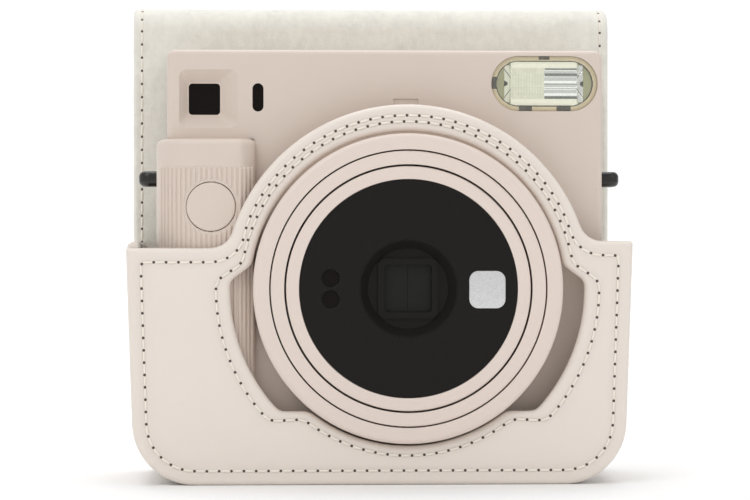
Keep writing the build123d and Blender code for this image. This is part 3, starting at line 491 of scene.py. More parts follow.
def panel_outline(case):
    """The front panel's outer edge, anticlockwise from the left shoulder's corner, and its corner marks."""
    right_top, left_top = PANEL_SHOULDER, case.shoulder_left
    left_head, left_foot = case_side(case, -1, left_top)
    right_head, right_foot = case_side(case, 1, right_top)
    right_waist = shoulder_and_waist(case, 1, right_top)
    left_waist = shoulder_and_waist(case, -1, left_top)
    first = np.degrees(np.arctan2(right_waist[-1, 1] - LENS_Z, right_waist[-1, 0] - LENS_X))
    last = np.degrees(np.arctan2(left_waist[-1, 1] - LENS_Z, left_waist[-1, 0] - LENS_X))
    over = arc((LENS_X, LENS_Z), case.arch, first, last, 200)
    sides = np.vstack([[left_head], left_foot, right_foot[::-1], [right_head]])
    top = np.vstack([[right_head], right_waist, over, left_waist[::-1], [left_head]])
    return sides, top


def opening_outline(case):
    """The lens opening's edge, anticlockwise: a circle with a window let in at each side."""
    r, w = case.opening, case.side_window
    high, notch, low = 6.7, 2.2, -35.1
    start = np.degrees(np.arcsin(high / r))
    outer_high = np.degrees(np.arcsin(notch / w))
    outer_low = np.degrees(np.arcsin(low / w))
    floor = np.degrees(np.arcsin(low / r))
    right = np.vstack(
        [
            arc((0, 0), r, -90, floor, 60),
            arc((0, 0), w, outer_low, outer_high, 120),
            arc((0, 0), r, start, 90, 160),
        ]
    )
    left = right[::-1] * (-1, 1)
    loop = resample(np.vstack([right, left[1:-1]]), 0.3)
    return soften(loop, 1.15, 0.3) + (LENS_X, LENS_Z)


# ------------------------------------------------------------------ sewn leather


class Patch:
    """Gathers grids of quads into the arrays of one piece."""

    def __init__(self):
        self.points, self.faces, self.slots, self.seams, self.count = [], [], [], [], 0

    def add(self, points, faces, slot, seam=0.0):
        points = np.asarray(points, float).reshape(-1, 3)
        self.points.append(points)
        self.faces.append(faces + self.count)
        self.slots.append(np.full(len(faces), slot))
        self.seams.append(np.broadcast_to(np.asarray(seam, float).ravel(), (len(points),)))
        self.count += len(points)

    def build(self, name, materials, body, slot, replaced=(), joined=None):
        points, faces = np.vstack(self.points), np.vstack(self.faces)
        # the seam attribute: nearness to a stitch row, which the leather finish uses for painted shade and for creases
        seams = {"seam": np.concatenate(self.seams)}
        piece = make_piece(name, points, faces, materials, np.concatenate(self.slots), seams)
        weld(piece)
        if replaced:
            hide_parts(*replaced)
        if joined is None:
            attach(piece, body)
        return piece


def weld(piece, distance=2e-6):
    """Joins doubled points along closed edges and turns all faces outwards."""
    import bmesh

    work = bmesh.new()
    work.from_mesh(piece.data)
    bmesh.ops.remove_doubles(work, verts=work.verts, dist=distance)
    bmesh.ops.recalc_face_normals(work, faces=work.faces)
    work.to_mesh(piece.data)
    work.free()
    piece.data.set_sharp_from_angle(angle=np.radians(55))


# the fourth slot holds the painted shade of the needle holes
LEATHER, SUEDE, THREAD, NEEDLE_HOLE_SHADE = range(4)


def stitches(patch, path, normals, pitch, thread):
    """Sews a row along a path: an arched capsule per stitch and, between stitches, a flat dark capsule of painted shade
    at each needle hole.

    A capsule's point is centre + along * (length / 2) * x + (across * cos b + up * sin b) * girth(x),
    where x runs from -1 to 1 and girth falls to nothing at both ends.
    """
    along = closed_sum(np.linalg.norm(np.diff(path, axis=0), axis=1))
    number = max(1, int(round(along[-1] / pitch)))
    step = along[-1] / number
    at = (np.arange(number) + 0.5) * step
    def on_path(where, values):
        return np.stack([np.interp(where, along, values[:, k]) for k in range(3)], axis=1)
    centre, up = on_path(at, path), on_path(at, normals)
    forward = on_path(at + step * 0.3, path) - on_path(at - step * 0.3, path)
    forward /= np.linalg.norm(forward, axis=1, keepdims=True)
    up /= np.linalg.norm(up, axis=1, keepdims=True)
    across = np.cross(forward, up)
    x = np.array([-1.0, -0.93, -0.72, -0.4, 0.0, 0.4, 0.72, 0.93, 1.0])[:, None, None]
    b = (np.arange(8) / 8 * TAU)[None, :, None]
    girth = np.sqrt(np.clip(1 - np.abs(x) ** 4, 0.0004, 1)) * thread / 2
    arch = 0.16 * thread * (1 - x**2) - 0.55 * thread * np.abs(x) ** 3
    def shapes(where, ahead, side, above, length, width, height, lift):
        ring = (
            where[:, None, None, :]
            + ahead[:, None, None, :] * (length / 2 * x)
            + side[:, None, None, :] * (girth * width * np.cos(b))
            + above[:, None, None, :] * (girth * height * np.sin(b) + lift)
        )
        return ring
    dash = shapes(centre, forward, across, up, step - 0.45, 1.0, 0.8, arch + 0.12 * thread)
    single = grid_faces(x.size, 8, close_columns=True)
    def scattered(rings, slot):
        many = len(rings)
        offsets = (np.arange(many) * x.size * 8)[:, None, None]
        patch.add(rings, (single[None] + offsets).reshape(-1, 4), slot)
    scattered(dash, THREAD)
    # painted shade: the needle holes are flat dark capsules laid on the surface, not cut
    pierced = np.arange(number + 1) * step
    spots, tops = on_path(pierced, path), on_path(pierced, normals)
    heads = on_path(pierced + 0.3, path) - on_path(pierced - 0.3, path)
    heads /= np.linalg.norm(heads, axis=1, keepdims=True)
    tops /= np.linalg.norm(tops, axis=1, keepdims=True)
    scattered(shapes(spots, heads, np.cross(heads, tops), tops, 0.75, 1.25, 0.16, 0.0 * x), NEEDLE_HOLE_SHADE)


def case_panel(case, materials):
    """The front panel: a padded leaf between the lens opening and the outer edge.

    A point is opening(angle) + ray * offset, pushed forward by a quarter round near either edge,
    by a slight crown between them, and back by a soft groove under each row of stitches.
    """
    sides, top = panel_outline(case)
    outer = soften(resample(np.vstack([sides[:-1], top[:-1]]), 0.5), 0.5, 0.5)
    inner = opening_outline(case)
    centre = np.array([LENS_X, LENS_Z])

    def polar(path):
        gap = path - centre
        angle = np.arctan2(gap[:, 1], gap[:, 0])
        order = np.argsort(angle)
        return angle[order], np.linalg.norm(gap, axis=1)[order]

    outer_angle, outer_radius = polar(outer)
    inner_angle, inner_radius = polar(inner)
    angles = np.sort(np.concatenate([outer_angle[::2], inner_angle[::3]]))
    angles = angles[np.concatenate([[True], np.diff(angles) > 2e-4])]
    near = np.interp(angles, inner_angle, inner_radius, period=TAU)
    far = np.interp(angles, outer_angle, outer_radius, period=TAU)
    width = far - near

    edge = np.array([0, 0.04, 0.14, 0.32, 0.6, 0.95, 1.35, 1.8, 2.3, 2.7, 3.0, 3.3, 3.7, 4.05, 4.4, 4.9, 5.6])
    share = np.minimum(1.0, width / (2 * edge[-1] + 1.0))
    rising = edge[:, None] * share
    middle_rows = np.linspace(0, 1, 9)[1:-1, None]
    between = rising[-1] + middle_rows * (width - 2 * rising[-1])
    offsets = np.vstack([rising, between, (width - rising)[::-1]])
    ray = np.stack([np.cos(angles), np.sin(angles)], axis=-1)
    flat = centre + (near + offsets)[..., None] * ray[None]
    points = flat.reshape(-1, 2)
    from_edge = np.minimum(distance_to(points, outer), distance_to(points, inner)).reshape(offsets.shape)
    from_edge[0], from_edge[-1] = 0.0, 0.0

    # Rows of stitches: one inside the outer edge, one round the opening.
    reach = np.linalg.norm(outer - centre, axis=1)
    on_arch = ((outer[:, 1] > LENS_Z + 16) & (reach < case.arch + 0.4)).astype(float)[:, None]
    depth = soften(4.1 - 0.9 * on_arch, 2.5, 0.5)
    inside = outer + inward(outer) * depth
    inside = inside[distance_to(inside, outer) > depth[:, 0] - 0.12]
    inner_row_radius = near + 2.75 + 1.3 * np.clip((near - case.opening) / 5.8, 0, 1)
    around = centre + inner_row_radius[:, None] * ray
    rows = [soften(resample(row, 0.5), 0.9, 0.5) for row in (inside, around)]
    from_row = np.minimum(distance_to(points, rows[0]), distance_to(points, rows[1])).reshape(offsets.shape)

    def quarter(distance, radius):
        return radius - np.sqrt(np.clip(radius**2 - (radius - np.minimum(distance, radius)) ** 2, 0, None))

    front, back = PANEL_LOW[1], PANEL_HIGH[1]
    groove = np.exp(-((from_row / 0.75) ** 2))
    crown = 0.28 * (1 - np.exp(-from_edge / 5.0))
    front_y = front + quarter(from_edge, case.edge_round) + 0.24 * groove - crown
    back_y = back - quarter(from_edge, 0.9)
    # nearness to a stitch row: painted shade and creases in the leather finish
    seam = np.exp(-((from_row / 1.5) ** 2))

    patch = Patch()
    count = len(angles)
    front_grid = np.stack([flat[..., 0], front_y, flat[..., 1]], axis=-1)
    back_rows = np.r_[0:6, 12, len(edge) + 3, -12, -6:0]
    back_grid = np.stack([flat[back_rows, :, 0], back_y[back_rows], flat[back_rows, :, 1]], axis=-1)[::-1]
    loop = np.concatenate([front_grid, back_grid])
    seams = np.concatenate([seam, np.zeros(back_grid.shape[:2])])
    faces = grid_faces(len(loop), count, close_rows=True, close_columns=True)
    patch.add(loop, faces, LEATHER, seams)
    for row in rows:
        closed = np.vstack([row, row[:1]])
        depth = np.full(len(closed), front - 0.02)
        path = np.stack([closed[:, 0], depth, closed[:, 1]], axis=1)
        outward = np.tile([0.0, -1.0, 0.0], (len(path), 1))
        stitches(patch, path, outward, case.stitch_pitch, case.thread)
    return patch.build("case_front", materials, "camera", "case_leather", ("case_front_panel",))


def case_strip(case, materials):
    """The gusset: a band carried along the case's sides and base, with turned edges at front and back."""
    left_head, left_foot = case_side(case, -1, GUSSET_HIGH[2])
    right_head, right_foot = case_side(case, 1, GUSSET_HIGH[2])
    line = np.vstack([[left_head], left_foot, right_foot[::-1], [right_head]])
    line = soften(resample(line, 1.0, closed=False), 1.0, 1.0, closed=False)
    into = inward(line, closed=False)
    thick = 3.5
    low_y, high_y, r = GUSSET_LOW[1] + 0.02, GUSSET_HIGH[1], 1.3
    turn = 1 - np.cos(np.linspace(0, np.pi / 2, 6))
    depths = np.concatenate([low_y + r * turn, high_y - r * turn[::-1]])
    depths = np.insert(depths, 6, np.linspace(low_y + r, high_y - r, 12)[1:-1])
    drop = np.minimum(depths - low_y, high_y - depths)
    drop = r - np.sqrt(np.clip(r**2 - (r - np.minimum(drop, r)) ** 2, 0, None))
    to_end = closed_sum(np.linalg.norm(np.diff(line, axis=0), axis=1))
    to_end = np.minimum(to_end, to_end[-1] - to_end)
    ends = r - np.sqrt(np.clip(r**2 - (r - np.minimum(to_end, r)) ** 2, 0, None))
    inset = np.maximum(drop[None, :], ends[:, None])
    belly = 0.35 * np.sin(np.pi * (depths - low_y) / (high_y - low_y))[None, :]
    outside = line[:, None, :] + into[:, None, :] * (inset + 0.30 - belly)[..., None]
    inside = line[:, None, :] + into[:, None, :] * (thick - 0.4 * inset)[..., None]
    shape = outside.shape[:2]
    grid_out = np.stack([outside[..., 0], np.broadcast_to(depths, shape), outside[..., 1]], axis=-1)
    grid_in = np.stack([inside[..., 0], np.broadcast_to(depths, shape), inside[..., 1]], axis=-1)
    patch = Patch()
    faces = grid_faces(*shape)
    patch.add(grid_out, faces, LEATHER)
    patch.add(grid_in, faces, SUEDE)
    bridge(patch, grid_out, grid_in, LEATHER)
    for y in (low_y + 3.2, high_y - 3.2):
        path = np.stack([line[:, 0], np.full(len(line), y), line[:, 1]], axis=1)
        inset_row = 0.30 - 0.35 * np.sin(np.pi * (y - low_y) / (high_y - low_y))
        path[:, [0, 2]] += into * inset_row
        outward = np.stack([-into[:, 0], np.zeros(len(line)), -into[:, 1]], axis=1)
        stitches(patch, path[2:-2], outward[2:-2], case.stitch_pitch, case.thread)
    return patch.build("case_sides", materials, "camera", "case_leather", ("case_gusset",))


def bridge(patch, one, other, slot):
    """Closes the gap between two grids' borders with one ring of quads."""
    def border(grid):
        return np.concatenate([grid[0, :-1], grid[:-1, -1], grid[-1, :0:-1], grid[:0:-1, 0]])
    ring = np.stack([border(one), border(other)])
    patch.add(ring, grid_faces(2, ring.shape[1], close_columns=True), slot)


SHEET_THICKNESS, ROW_INSET = 2.6, 2.6


def sheet_piece(case, line, facing, half_width, free_start=False, free_end=False):
    """A lined leather sheet: its middle line in the YZ plane, widened by half_width to each side.

    A point is line(s) + facing(s) * side * half_thickness(d), where d is the distance to the nearest cut edge
    and half_thickness is a half round of the sheet's own thickness. Leather lies on one side and suede on the other.
    """
    along = closed_sum(np.linalg.norm(np.diff(line, axis=0), axis=1))
    round_in = np.array([0, 0.02, 0.08, 0.18, 0.34, 0.55, 0.8, 1.05, 1.35, 1.9, 2.5, 3.2, 4.5])
    spread = np.concatenate([round_in, np.linspace(4.5, 60, 16)[1:]])
    inset = np.tile(np.append(spread, 0.0), (len(along), 1))
    inset[:, -1] = half_width
    inset = np.minimum(inset, half_width[:, None])
    x = np.concatenate([-(half_width[:, None] - inset), (half_width[:, None] - inset)[:, -2::-1]], axis=1)
    slope = np.gradient(half_width, along)
    side_gap = (half_width[:, None] - np.abs(x)) / np.sqrt(1 + slope**2)[:, None]
    end_gap = np.full(len(along), np.inf)
    if free_start:
        end_gap = np.minimum(end_gap, along)
    if free_end:
        end_gap = np.minimum(end_gap, along[-1] - along)
    gap = np.minimum(side_gap, end_gap[:, None])
    r = SHEET_THICKNESS / 2
    half = np.sqrt(np.clip(r**2 - (r - np.minimum(gap, r)) ** 2, 0, None))
    from_row = half_width[:, None] - np.abs(x) - ROW_INSET
    groove = 0.16 * np.exp(-((from_row / 0.6) ** 2))
    # nearness to a stitch row: painted shade and creases in the leather finish
    seam = np.exp(-((from_row / 1.2) ** 2))
    patch = Patch()
    grids = []
    for side, slot in ((-1, LEATHER), (1, SUEDE)):
        out = side * (half - groove)
        y = line[:, None, 0] + facing[:, None, 0] * out
        z = line[:, None, 1] + facing[:, None, 1] * out
        grid = np.stack([x, y, z], axis=-1)
        patch.add(grid, grid_faces(*x.shape), slot, seam)
        grids.append(grid)
    bridge(patch, grids[0], grids[1], LEATHER)
    keep = end_gap > 2.5
    for side in (-1, 1):
        for hand in (-1, 1):
            surface = line[keep] + facing[keep] * side * (r - 0.1)
            path = np.stack([hand * (half_width[keep] - ROW_INSET), surface[:, 0], surface[:, 1]], axis=1)
            normal = np.stack([np.zeros(keep.sum()), facing[keep, 0] * side, facing[keep, 1] * side], axis=1)
            stitches(patch, path, normal, 4.0, case.thread * 0.9)
    return patch


def cut_holes(piece, cutters):
    """Cuts solids out of a piece for good, then removes them."""
    for number, cutter in enumerate(cutters):
        cut = piece.modifiers.new(f"cut_{number}", "BOOLEAN")
        cut.operation = "DIFFERENCE"
        cut.solver = "EXACT"
        cut.object = cutter
    bpy.context.view_layer.update()
    depsgraph = bpy.context.evaluated_depsgraph_get()
    done = bpy.data.meshes.new_from_object(piece.evaluated_get(depsgraph))
    piece.modifiers.clear()
    old = piece.data
    piece.data = done
    bpy.data.meshes.remove(old)
    for cutter in cutters:
        bpy.data.objects.remove(cutter)


def prism(name, outline, low_y, high_y):
    """A straight-sided plug through the leather, from an outline in XZ."""
    front = np.stack([outline[:, 0], np.full(len(outline), low_y), outline[:, 1]], axis=1)
    back = front * (1, 0, 1) + (0, high_y, 0)
    mesh = bpy.data.meshes.new(name)
    count = len(outline)
    sides = grid_faces(2, count, close_columns=True).tolist()
    caps = [list(range(count)), list(range(count, 2 * count))]
    mesh.from_pydata((np.vstack([front, back]) * MM).tolist(), [], sides + caps)
    piece = bpy.data.objects.new(name, mesh)
    bpy.context.scene.collection.objects.link(piece)
    weld(piece)
    return piece


def rounded_box(centre, width, height, radius):
    """A rectangle with round corners, anticlockwise, centred at a point in XZ."""
    w, h = width / 2 - radius, height / 2 - radius
    spots = [(w, -h, -90), (w, h, 0), (-w, h, 90), (-w, -h, 180)]
    return np.vstack([arc((centre[0] + x, centre[1] + z), radius, a, a + 90, 10) for x, z, a in spots])


def half_widths(z, case):
    """Half the back panel's width at each height, with its round lower corners."""
    w = lean(z, case)
    _, foot = case_side(case, 1, PANEL_SHOULDER)
    rising = foot[np.argsort(foot[:, 1], kind="stable")]
    rounded = np.interp(z, rising[:, 1], rising[:, 0])
    return np.where(z < foot[:, 1].max(), np.minimum(w, rounded), w)


def case_back_and_flap(case, materials):
    """The one long sheet of leather: back panel, riser, fold, hanging flap and lip."""
    middle_y = (BACK_LOW[1] + BACK_HIGH[1]) / 2
    first, crest, last = (hinge_point(f"fold_bend_{number}") for number in (1, 2, 3))
    radius = (last[1] - first[1]) / 2 / np.cos(np.radians(30))
    fold_y, fold_z = crest[1], crest[2] - radius
    flap_y = fold_y + radius
    wide = BACK_HIGH[0]
    bottom = BACK_LOW[2]

    # Back panel and riser, as one straight sheet.
    lower = bottom + 17 * (1 - np.cos(np.linspace(0, np.pi / 2, 26)))
    rise = np.concatenate([lower, np.linspace(bottom + 17, fold_z, 64)[1:]])
    line = np.stack([np.full(len(rise), middle_y), rise], axis=1)
    face = np.tile([-1.0, 0.0], (len(rise), 1))
    patch = sheet_piece(case, line, face, half_widths(rise, case), free_start=True)
    nodes = ("case_back_panel", "flap_riser")
    back = patch.build("case_back_leather", materials, "case_back", "case_leather", nodes, joined=True)
    low_y, high_y = middle_y - 4, middle_y + 4
    finder = middle("viewfinder_eyepiece")
    counter = middle("film_counter_dial")
    plugs = [
        prism("finder_cut", rounded_box((finder[0], finder[2]), 15, 15, 2.5), low_y, high_y),
        prism("pack_cut", rounded_box((-20, 30), 9, 18, 2.5), low_y, high_y),
        prism("counter_cut", arc((counter[0], counter[2]), 4.5, 0, 360, 49)[:-1], low_y, high_y),
    ]
    cut_holes(back, plugs)
    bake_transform(back)

    # The fold, in two arcs of 60 degrees, then the third with the flap.
    def fold_line(start, end, count):
        turn = np.radians(np.linspace(start, end, count))
        spot = np.stack([fold_y - radius * np.cos(turn), fold_z + radius * np.sin(turn)], axis=1)
        out = np.stack([-np.cos(turn), np.sin(turn)], axis=1)
        return spot, out

    def fold_point(angle):
        spot, _ = fold_line(angle, angle, 1)
        return (0.0, spot[0, 0] * MM, spot[0, 1] * MM)

    for name, bodies, start, end, node in (
        ("case_fold_first", ("flap_riser", "fold_1"), 0, 60, "fold_strip_1"),
        ("case_fold_second", ("fold_1", "fold_2"), 60, 120, "fold_strip_2"),
    ):
        spot, out = fold_line(start, end, 13)
        patch = sheet_piece(case, spot, out, np.full(13, wide))
        strip = patch.build(name, materials, bodies[0], "case_leather", (node,), joined=True)
        fold_point(start)
        fold_point(end)
        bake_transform(strip)

    split = (FLAP_LOW[2] + FLAP_HIGH[2]) / 2
    spot, out = fold_line(120, 180, 13)
    hang = np.linspace(fold_z, split, 12)[1:]
    line = np.vstack([spot, np.stack([np.full(len(hang), flap_y), hang], axis=1)])
    face = np.vstack([out, np.tile([1.0, 0.0], (len(hang), 1))])
    patch = sheet_piece(case, line, face, np.full(len(line), wide))
    top = patch.build("case_flap_top", materials, "flap", "case_leather", ("case_flap",), joined=True)
    fold_point(120)
    fold_point(180)
    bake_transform(top)

    bottom = LIP_LOW[2]
    corner = 9.0
    turned = bottom + corner * (1 - np.sin(np.linspace(0, np.pi / 2, 22)))[1:]
    fall = np.concatenate([np.linspace(split, bottom + corner, 40), turned])
    tuck = np.clip(bottom + corner - fall, 0, corner)
    widths = wide - (corner - np.sqrt(np.clip(corner**2 - tuck**2, 0, None)))
    line = np.stack([np.full(len(fall), flap_y), fall], axis=1)
    face = np.tile([1.0, 0.0], (len(fall), 1))
    patch = sheet_piece(case, line, face, widths, free_end=True)
    end = patch.build("case_flap_end", materials, "flap_lip", "case_leather", ("case_flap_lip",), joined=True)
    flap_y * MM
    flap_y * MM
    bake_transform(end)


# ------------------------------------------------------------------ the ribbed grip


def grip_profile(camera, step=0.1):
    """The grip's plan outline from its rear left edge round the front to its right foot, as points in XY."""
    left, front, rear = GRIP_LOW[0], GRIP_LOW[1] + camera.rib_height, GRIP_HIGH[1]
    foot, big = GRIP_HIGH[0], 12.0
    facet = np.array([4.3, 3.9])
    turn = np.radians(np.linspace(180, 270, 60))
    bend = np.stack([left + big + big * np.cos(turn), front + big + big * np.sin(turn)], axis=1)
    shell_y = corners("front_shell")[0][1]
    right = [(foot - facet[0], front), (foot, front + facet[1]), (foot, shell_y + 0.4)]
    points = np.vstack([[(left, rear)], bend, right])
    return soften(resample(points, step, closed=False), 1.1, step, closed=False)


def ribbed_grip(camera, materials):
    """The grip: its plan outline carried up, with half-round ribs that stop short of the top and of the button.

    The surface stands out by height * sqrt(1 - (s / r)^2 - (e / r)^2), where s is the distance to the nearest rib's
    middle along the surface and e is how far the point has run past that rib's end.
    """
    plan = grip_profile(camera)
    along = closed_sum(np.linalg.norm(np.diff(plan, axis=0), axis=1))
    button = middle("shutter_button")
    pitch, r = camera.rib_pitch, camera.rib_radius
    wall = along[-1] - np.argmax(plan[::-1, 0] < plan[-1, 0] - 0.25) * 0.1
    ribs = wall - 0.9 - pitch * np.arange(21)
    across = r * np.sin(np.linspace(-np.pi / 2, np.pi / 2, 11))
    over_button = np.abs(plan[:, 0] - button[0]) < 8.0
    near_button = along[over_button & (plan[:, 1] < -18)]
    marks = np.concatenate(
        [
            (ribs[:, None] + across[None, :]).ravel(), ribs - pitch / 2,
            np.arange(near_button.min(), near_button.max(), 0.22),
            np.arange(0, ribs.min() - pitch, 0.8), np.linspace(ribs.max() + pitch / 2, along[-1], 12),
        ]
    )
    marks = np.unique(np.round(marks, 3))
    marks = marks[np.concatenate([[True], np.diff(marks) > 0.02])]
    gap_to_rib = np.abs(marks[:, None] - ribs[None, :]).min(axis=1)
    plan_at = np.stack([np.interp(marks, along, plan[:, k]) for k in range(2)], axis=1)
    outward = np.stack([np.interp(marks, along, -inward(plan, closed=False)[:, k]) for k in range(2)], axis=1)
    plan = plan_at

    top, floor = GRIP_HIGH[2], GRIP_LOW[2]
    rib_top, clear, hole = 90.4, 8.3, 7.16  # the ribs' top, their clearance round the button and its hole
    z = np.concatenate(
        [
            [floor], floor + np.array([0.05, 0.2]),
            np.linspace(floor + 0.6, 70.0, 16),
            np.arange(70.2, 88.6, 0.22),
            np.linspace(88.8, rib_top - 0.1, 4),
            rib_top + r * np.sin(np.linspace(0, np.pi / 2, 7)),
            np.linspace(rib_top + 0.8, top - 2.2, 6),
            top - 2.0 * (1 - np.sin(np.linspace(0, np.pi / 2, 12))),
        ]
    )
    front_most = np.abs(plan[:, 1] - plan[:, 1].min()) < 5.0
    gap = np.hypot(plan[None, :, 0] - button[0], z[:, None] - button[2])
    gap = np.where(front_most[None, :], gap, 99.0)
    past = np.maximum(np.maximum(z[:, None] - rib_top, clear - gap), 0)
    height = camera.rib_height * np.sqrt(np.clip(1 - (gap_to_rib[None, :] ** 2 + past**2) / r**2, 0, None))
    sink = 3.2 * np.clip((hole - gap) / 0.2, 0, 1)
    fillet = 2.0 - np.sqrt(np.clip(2.0**2 - np.clip(z - (top - 2.0), 0, 2.0) ** 2, 0, None))
    out = height - sink - fillet[:, None]
    shape = out.shape
    x = plan[None, :, 0] + outward[None, :, 0] * out
    y = plan[None, :, 1] + outward[None, :, 1] * out
    grid = np.stack([x, y, np.broadcast_to(z[:, None], shape)], axis=-1)

    inner = plan.copy()
    shell_low, _ = corners("front_shell")
    inner[:, 0] = np.clip(plan[:, 0], shell_low[0] - 0.02, None)
    inner[:, 1] = np.clip(plan[:, 1], shell_low[1] - 0.02, None)
    core = np.stack(
        [
            np.broadcast_to(inner[:, 0], (2, shape[1])),
            np.broadcast_to(inner[:, 1], (2, shape[1])),
            np.broadcast_to(np.array([[top], [floor]]), (2, shape[1])),
        ],
        axis=-1,
    )
    patch = Patch()
    patch.add(np.concatenate([grid, core]), grid_faces(shape[0] + 2, shape[1], close_rows=True), 0)
    return patch.build("ribbed_grip", materials, "camera", "grip_plastic", ("grip_cover",))


# ------------------------------------------------------------------ the flash


def flash_materials():
    """Finishes of the flash moulding: bezel, its floor darkened as painted shade, lens ledges, diffuser, bright
    reflector, dark catches and the reflector's painted dark reflection bands.
    """
    diffuser = Finish("Flash diffuser", IOR=1.49)
    x, _, z = diffuser.axes()
    lines = (x * 1.25)._math("FRACT").above(0.84) + (z * 1.6)._math("FRACT").above(0.88)
    veil = diffuser.noise(3.0, 3.0, 0.6)
    pale = diffuser.blend(veil, (0.70, 0.71, 0.55), (0.86, 0.87, 0.72))
    diffuser.set(Base_Color=diffuser.blend(lines * 0.28, pale, (0.40, 0.41, 0.30)), Roughness=veil * 0.1 + 0.22)
    diffuser.bump(lines, 0.04, 0.5)
    mirror = metal("Flash reflector facets", (0.90, 0.92, 0.88), 0.12)
    return [
        gloss("Flash bezel", (0.60, 0.50, 0.31), 0.28),
        # the recessed floor: an olive tone of its own, darkened as painted shade in the recess
        gloss("Flash bezel floor painted shade", (0.33, 0.33, 0.17), 0.30),
        gloss("Flash lens ledge", (0.90, 0.90, 0.74), 0.22),
        diffuser.material,
        mirror,
        moulded("Flash catches", (0.035, 0.028, 0.018), 0.5, shine=0.2),
        # painted reflection: a dark metal for the dark bands seen in the reflector
        metal("Flash reflector painted dark reflection", (0.20, 0.22, 0.20), 0.22),
    ]


def flash_moulding(materials):
    """The bezel and lens of the flash as one relief: depth is a function of a point's place inside the stadium.

    Each row of points runs between the two round ends, at middle -+ (straight / 2 + sqrt(R^2 - z^2)).
    """
    low, high = corners("flash_bezel")
    centre, half = (low + high) / 2, (high - low) / 2
    radius = half[2]
    straight = half[0] - radius
    v = radius * np.sin(np.linspace(-np.pi / 2, np.pi / 2, 161))
    u = np.linspace(-1, 1, 281)
    x = (straight + np.sqrt(np.clip(radius**2 - v**2, 0, None)))[:, None] * u[None, :]
    z = np.broadcast_to(v[:, None], x.shape)
    edge = radius - np.hypot(np.clip(np.abs(x) - straight, 0, None), z)

    def within(x0, x1, z0, z1):
        return (x >= x0) & (x <= x1) & (z >= z0) & (z <= z1)

    band = edge < 1.3
    line = (edge >= 1.3) & (edge < 1.52)
    window = within(-11.7, 11.35, -5.4, 5.4) | within(-10.2, 9.9, -6.3, 6.4)
    ledge = window & (np.abs(z) > 4.5) & within(-10.2, 9.9, -7, 7)
    optic = window & (np.abs(z) <= 4.5)
    ends = window & (np.abs(x + 0.15) > 9.7)
    notch = (np.abs(z) < 0.35 + 0.5 * (np.abs(x + 0.15) - 10.6)) & (np.abs(x + 0.15) > 10.6) & window
    cross = np.abs(np.abs(z) - 1.4 * (np.abs(x + 0.15) - 9.4) - 1.2) < 0.17
    catches = within(-1.7, 1.5, 6.95, 8.0) | within(-7.4, -3.6, -8.0, -6.65) | within(3.5, 7.6, -8.0, -6.65)
    catches |= within(-15.5, -13.9, -1.6, 1.95)
    # painted reflection: dark bands across the reflector's right half stand for the dark bands it reflects
    reflection_bands = np.zeros_like(x, bool)
    for start, stop in ((3.9, 4.5), (2.1, 3.0), (-0.3, -0.05), (-1.5, -1.25), (-4.5, -3.7)):
        reflection_bands |= (z >= start) & (z <= stop)
    flutes = 0.16 * np.abs(np.sin(np.pi * (z + 4.5) / 1.8))
    depth = np.where(band, 0.10 + 0.12 * np.cos(np.pi * np.clip(edge, 0, 1.3) / 1.3) ** 2, 0.85)
    depth = np.where(line, 1.05, depth)
    depth = np.where(window, 0.45, depth)
    depth = np.where(ledge, 0.16 + 0.25 * ((np.abs(z) - 5.4) / 0.95) ** 2, depth)
    depth = np.where(optic, 0.50 + flutes, depth)
    depth = np.where(ends, 0.45 + 0.12 * np.abs(x + 0.15) % 0.4, depth)
    depth = np.where(cross & ends, 0.72, depth)
    depth = np.where(notch, 1.1, depth)
    depth = np.where(catches, 0.06, depth)
    # kind 1, the default, is the recessed floor, whose darker olive is partly painted shade
    kind = np.ones(x.shape, int)
    # kind 6 paints the dark reflection bands on the reflector and lays the same dark finish in the cross grooves at its
    # ends
    for mask, value in (
        (band, 0), (window, 4), (window & (x < 0), 3), (optic & (x > 0) & (x < 9.7) & reflection_bands, 6), (ledge, 2),
        (window & ends & (np.abs(z) < 5), 4), (window & ends & (x < 0), 3), (cross & ends, 6), (notch, 5), (line, 5),
        (catches, 5),
    ):
        kind = np.where(mask, value, kind)
    front = np.stack([centre[0] + x, low[1] + 0.02 + depth, centre[2] + z], axis=-1)
    back = np.stack([front[..., 0], np.full(x.shape, high[1] - 0.02), front[..., 2]], axis=-1)
    patch = Patch()
    patch.add(front, grid_faces(*x.shape), kind[:-1, :-1].ravel())
    edge_front, edge_back = (
        np.vstack([grid[0], grid[1:, -1], grid[-1, -2::-1], grid[-2:0:-1, 0]]) for grid in (front, back)
    )
    hub = np.broadcast_to(np.array([centre[0], high[1] - 0.02, centre[2]]), edge_back.shape)
    patch.add(np.stack([edge_front, edge_back, hub]), grid_faces(3, len(edge_front), close_columns=True), 0)
    return patch.build("flash_moulding", materials, "camera", "flash_bezel", ("flash_bezel",))


# ------------------------------------------------------------------ finishes of the carried-over nodes


def wound_board(name):
    """A green board with copper traces under its lacquer."""
    finish = Finish(name, Roughness=0.35, IOR=1.5)
    lanes = (finish.noise(3.5, 0.0, stretch=(1.0, 1.0, 0.25)) * 14.0)._math("FRACT")
    traces = lanes.above(0.72)
    blotch = finish.noise(6.0)
    green = finish.blend(blotch, (0.012, 0.10, 0.045), (0.018, 0.14, 0.06))
    finish.set(Base_Color=finish.blend(traces * 0.6, green, (0.10, 0.22, 0.08)))
    return finish.bump(traces, 0.03, 0.5).material


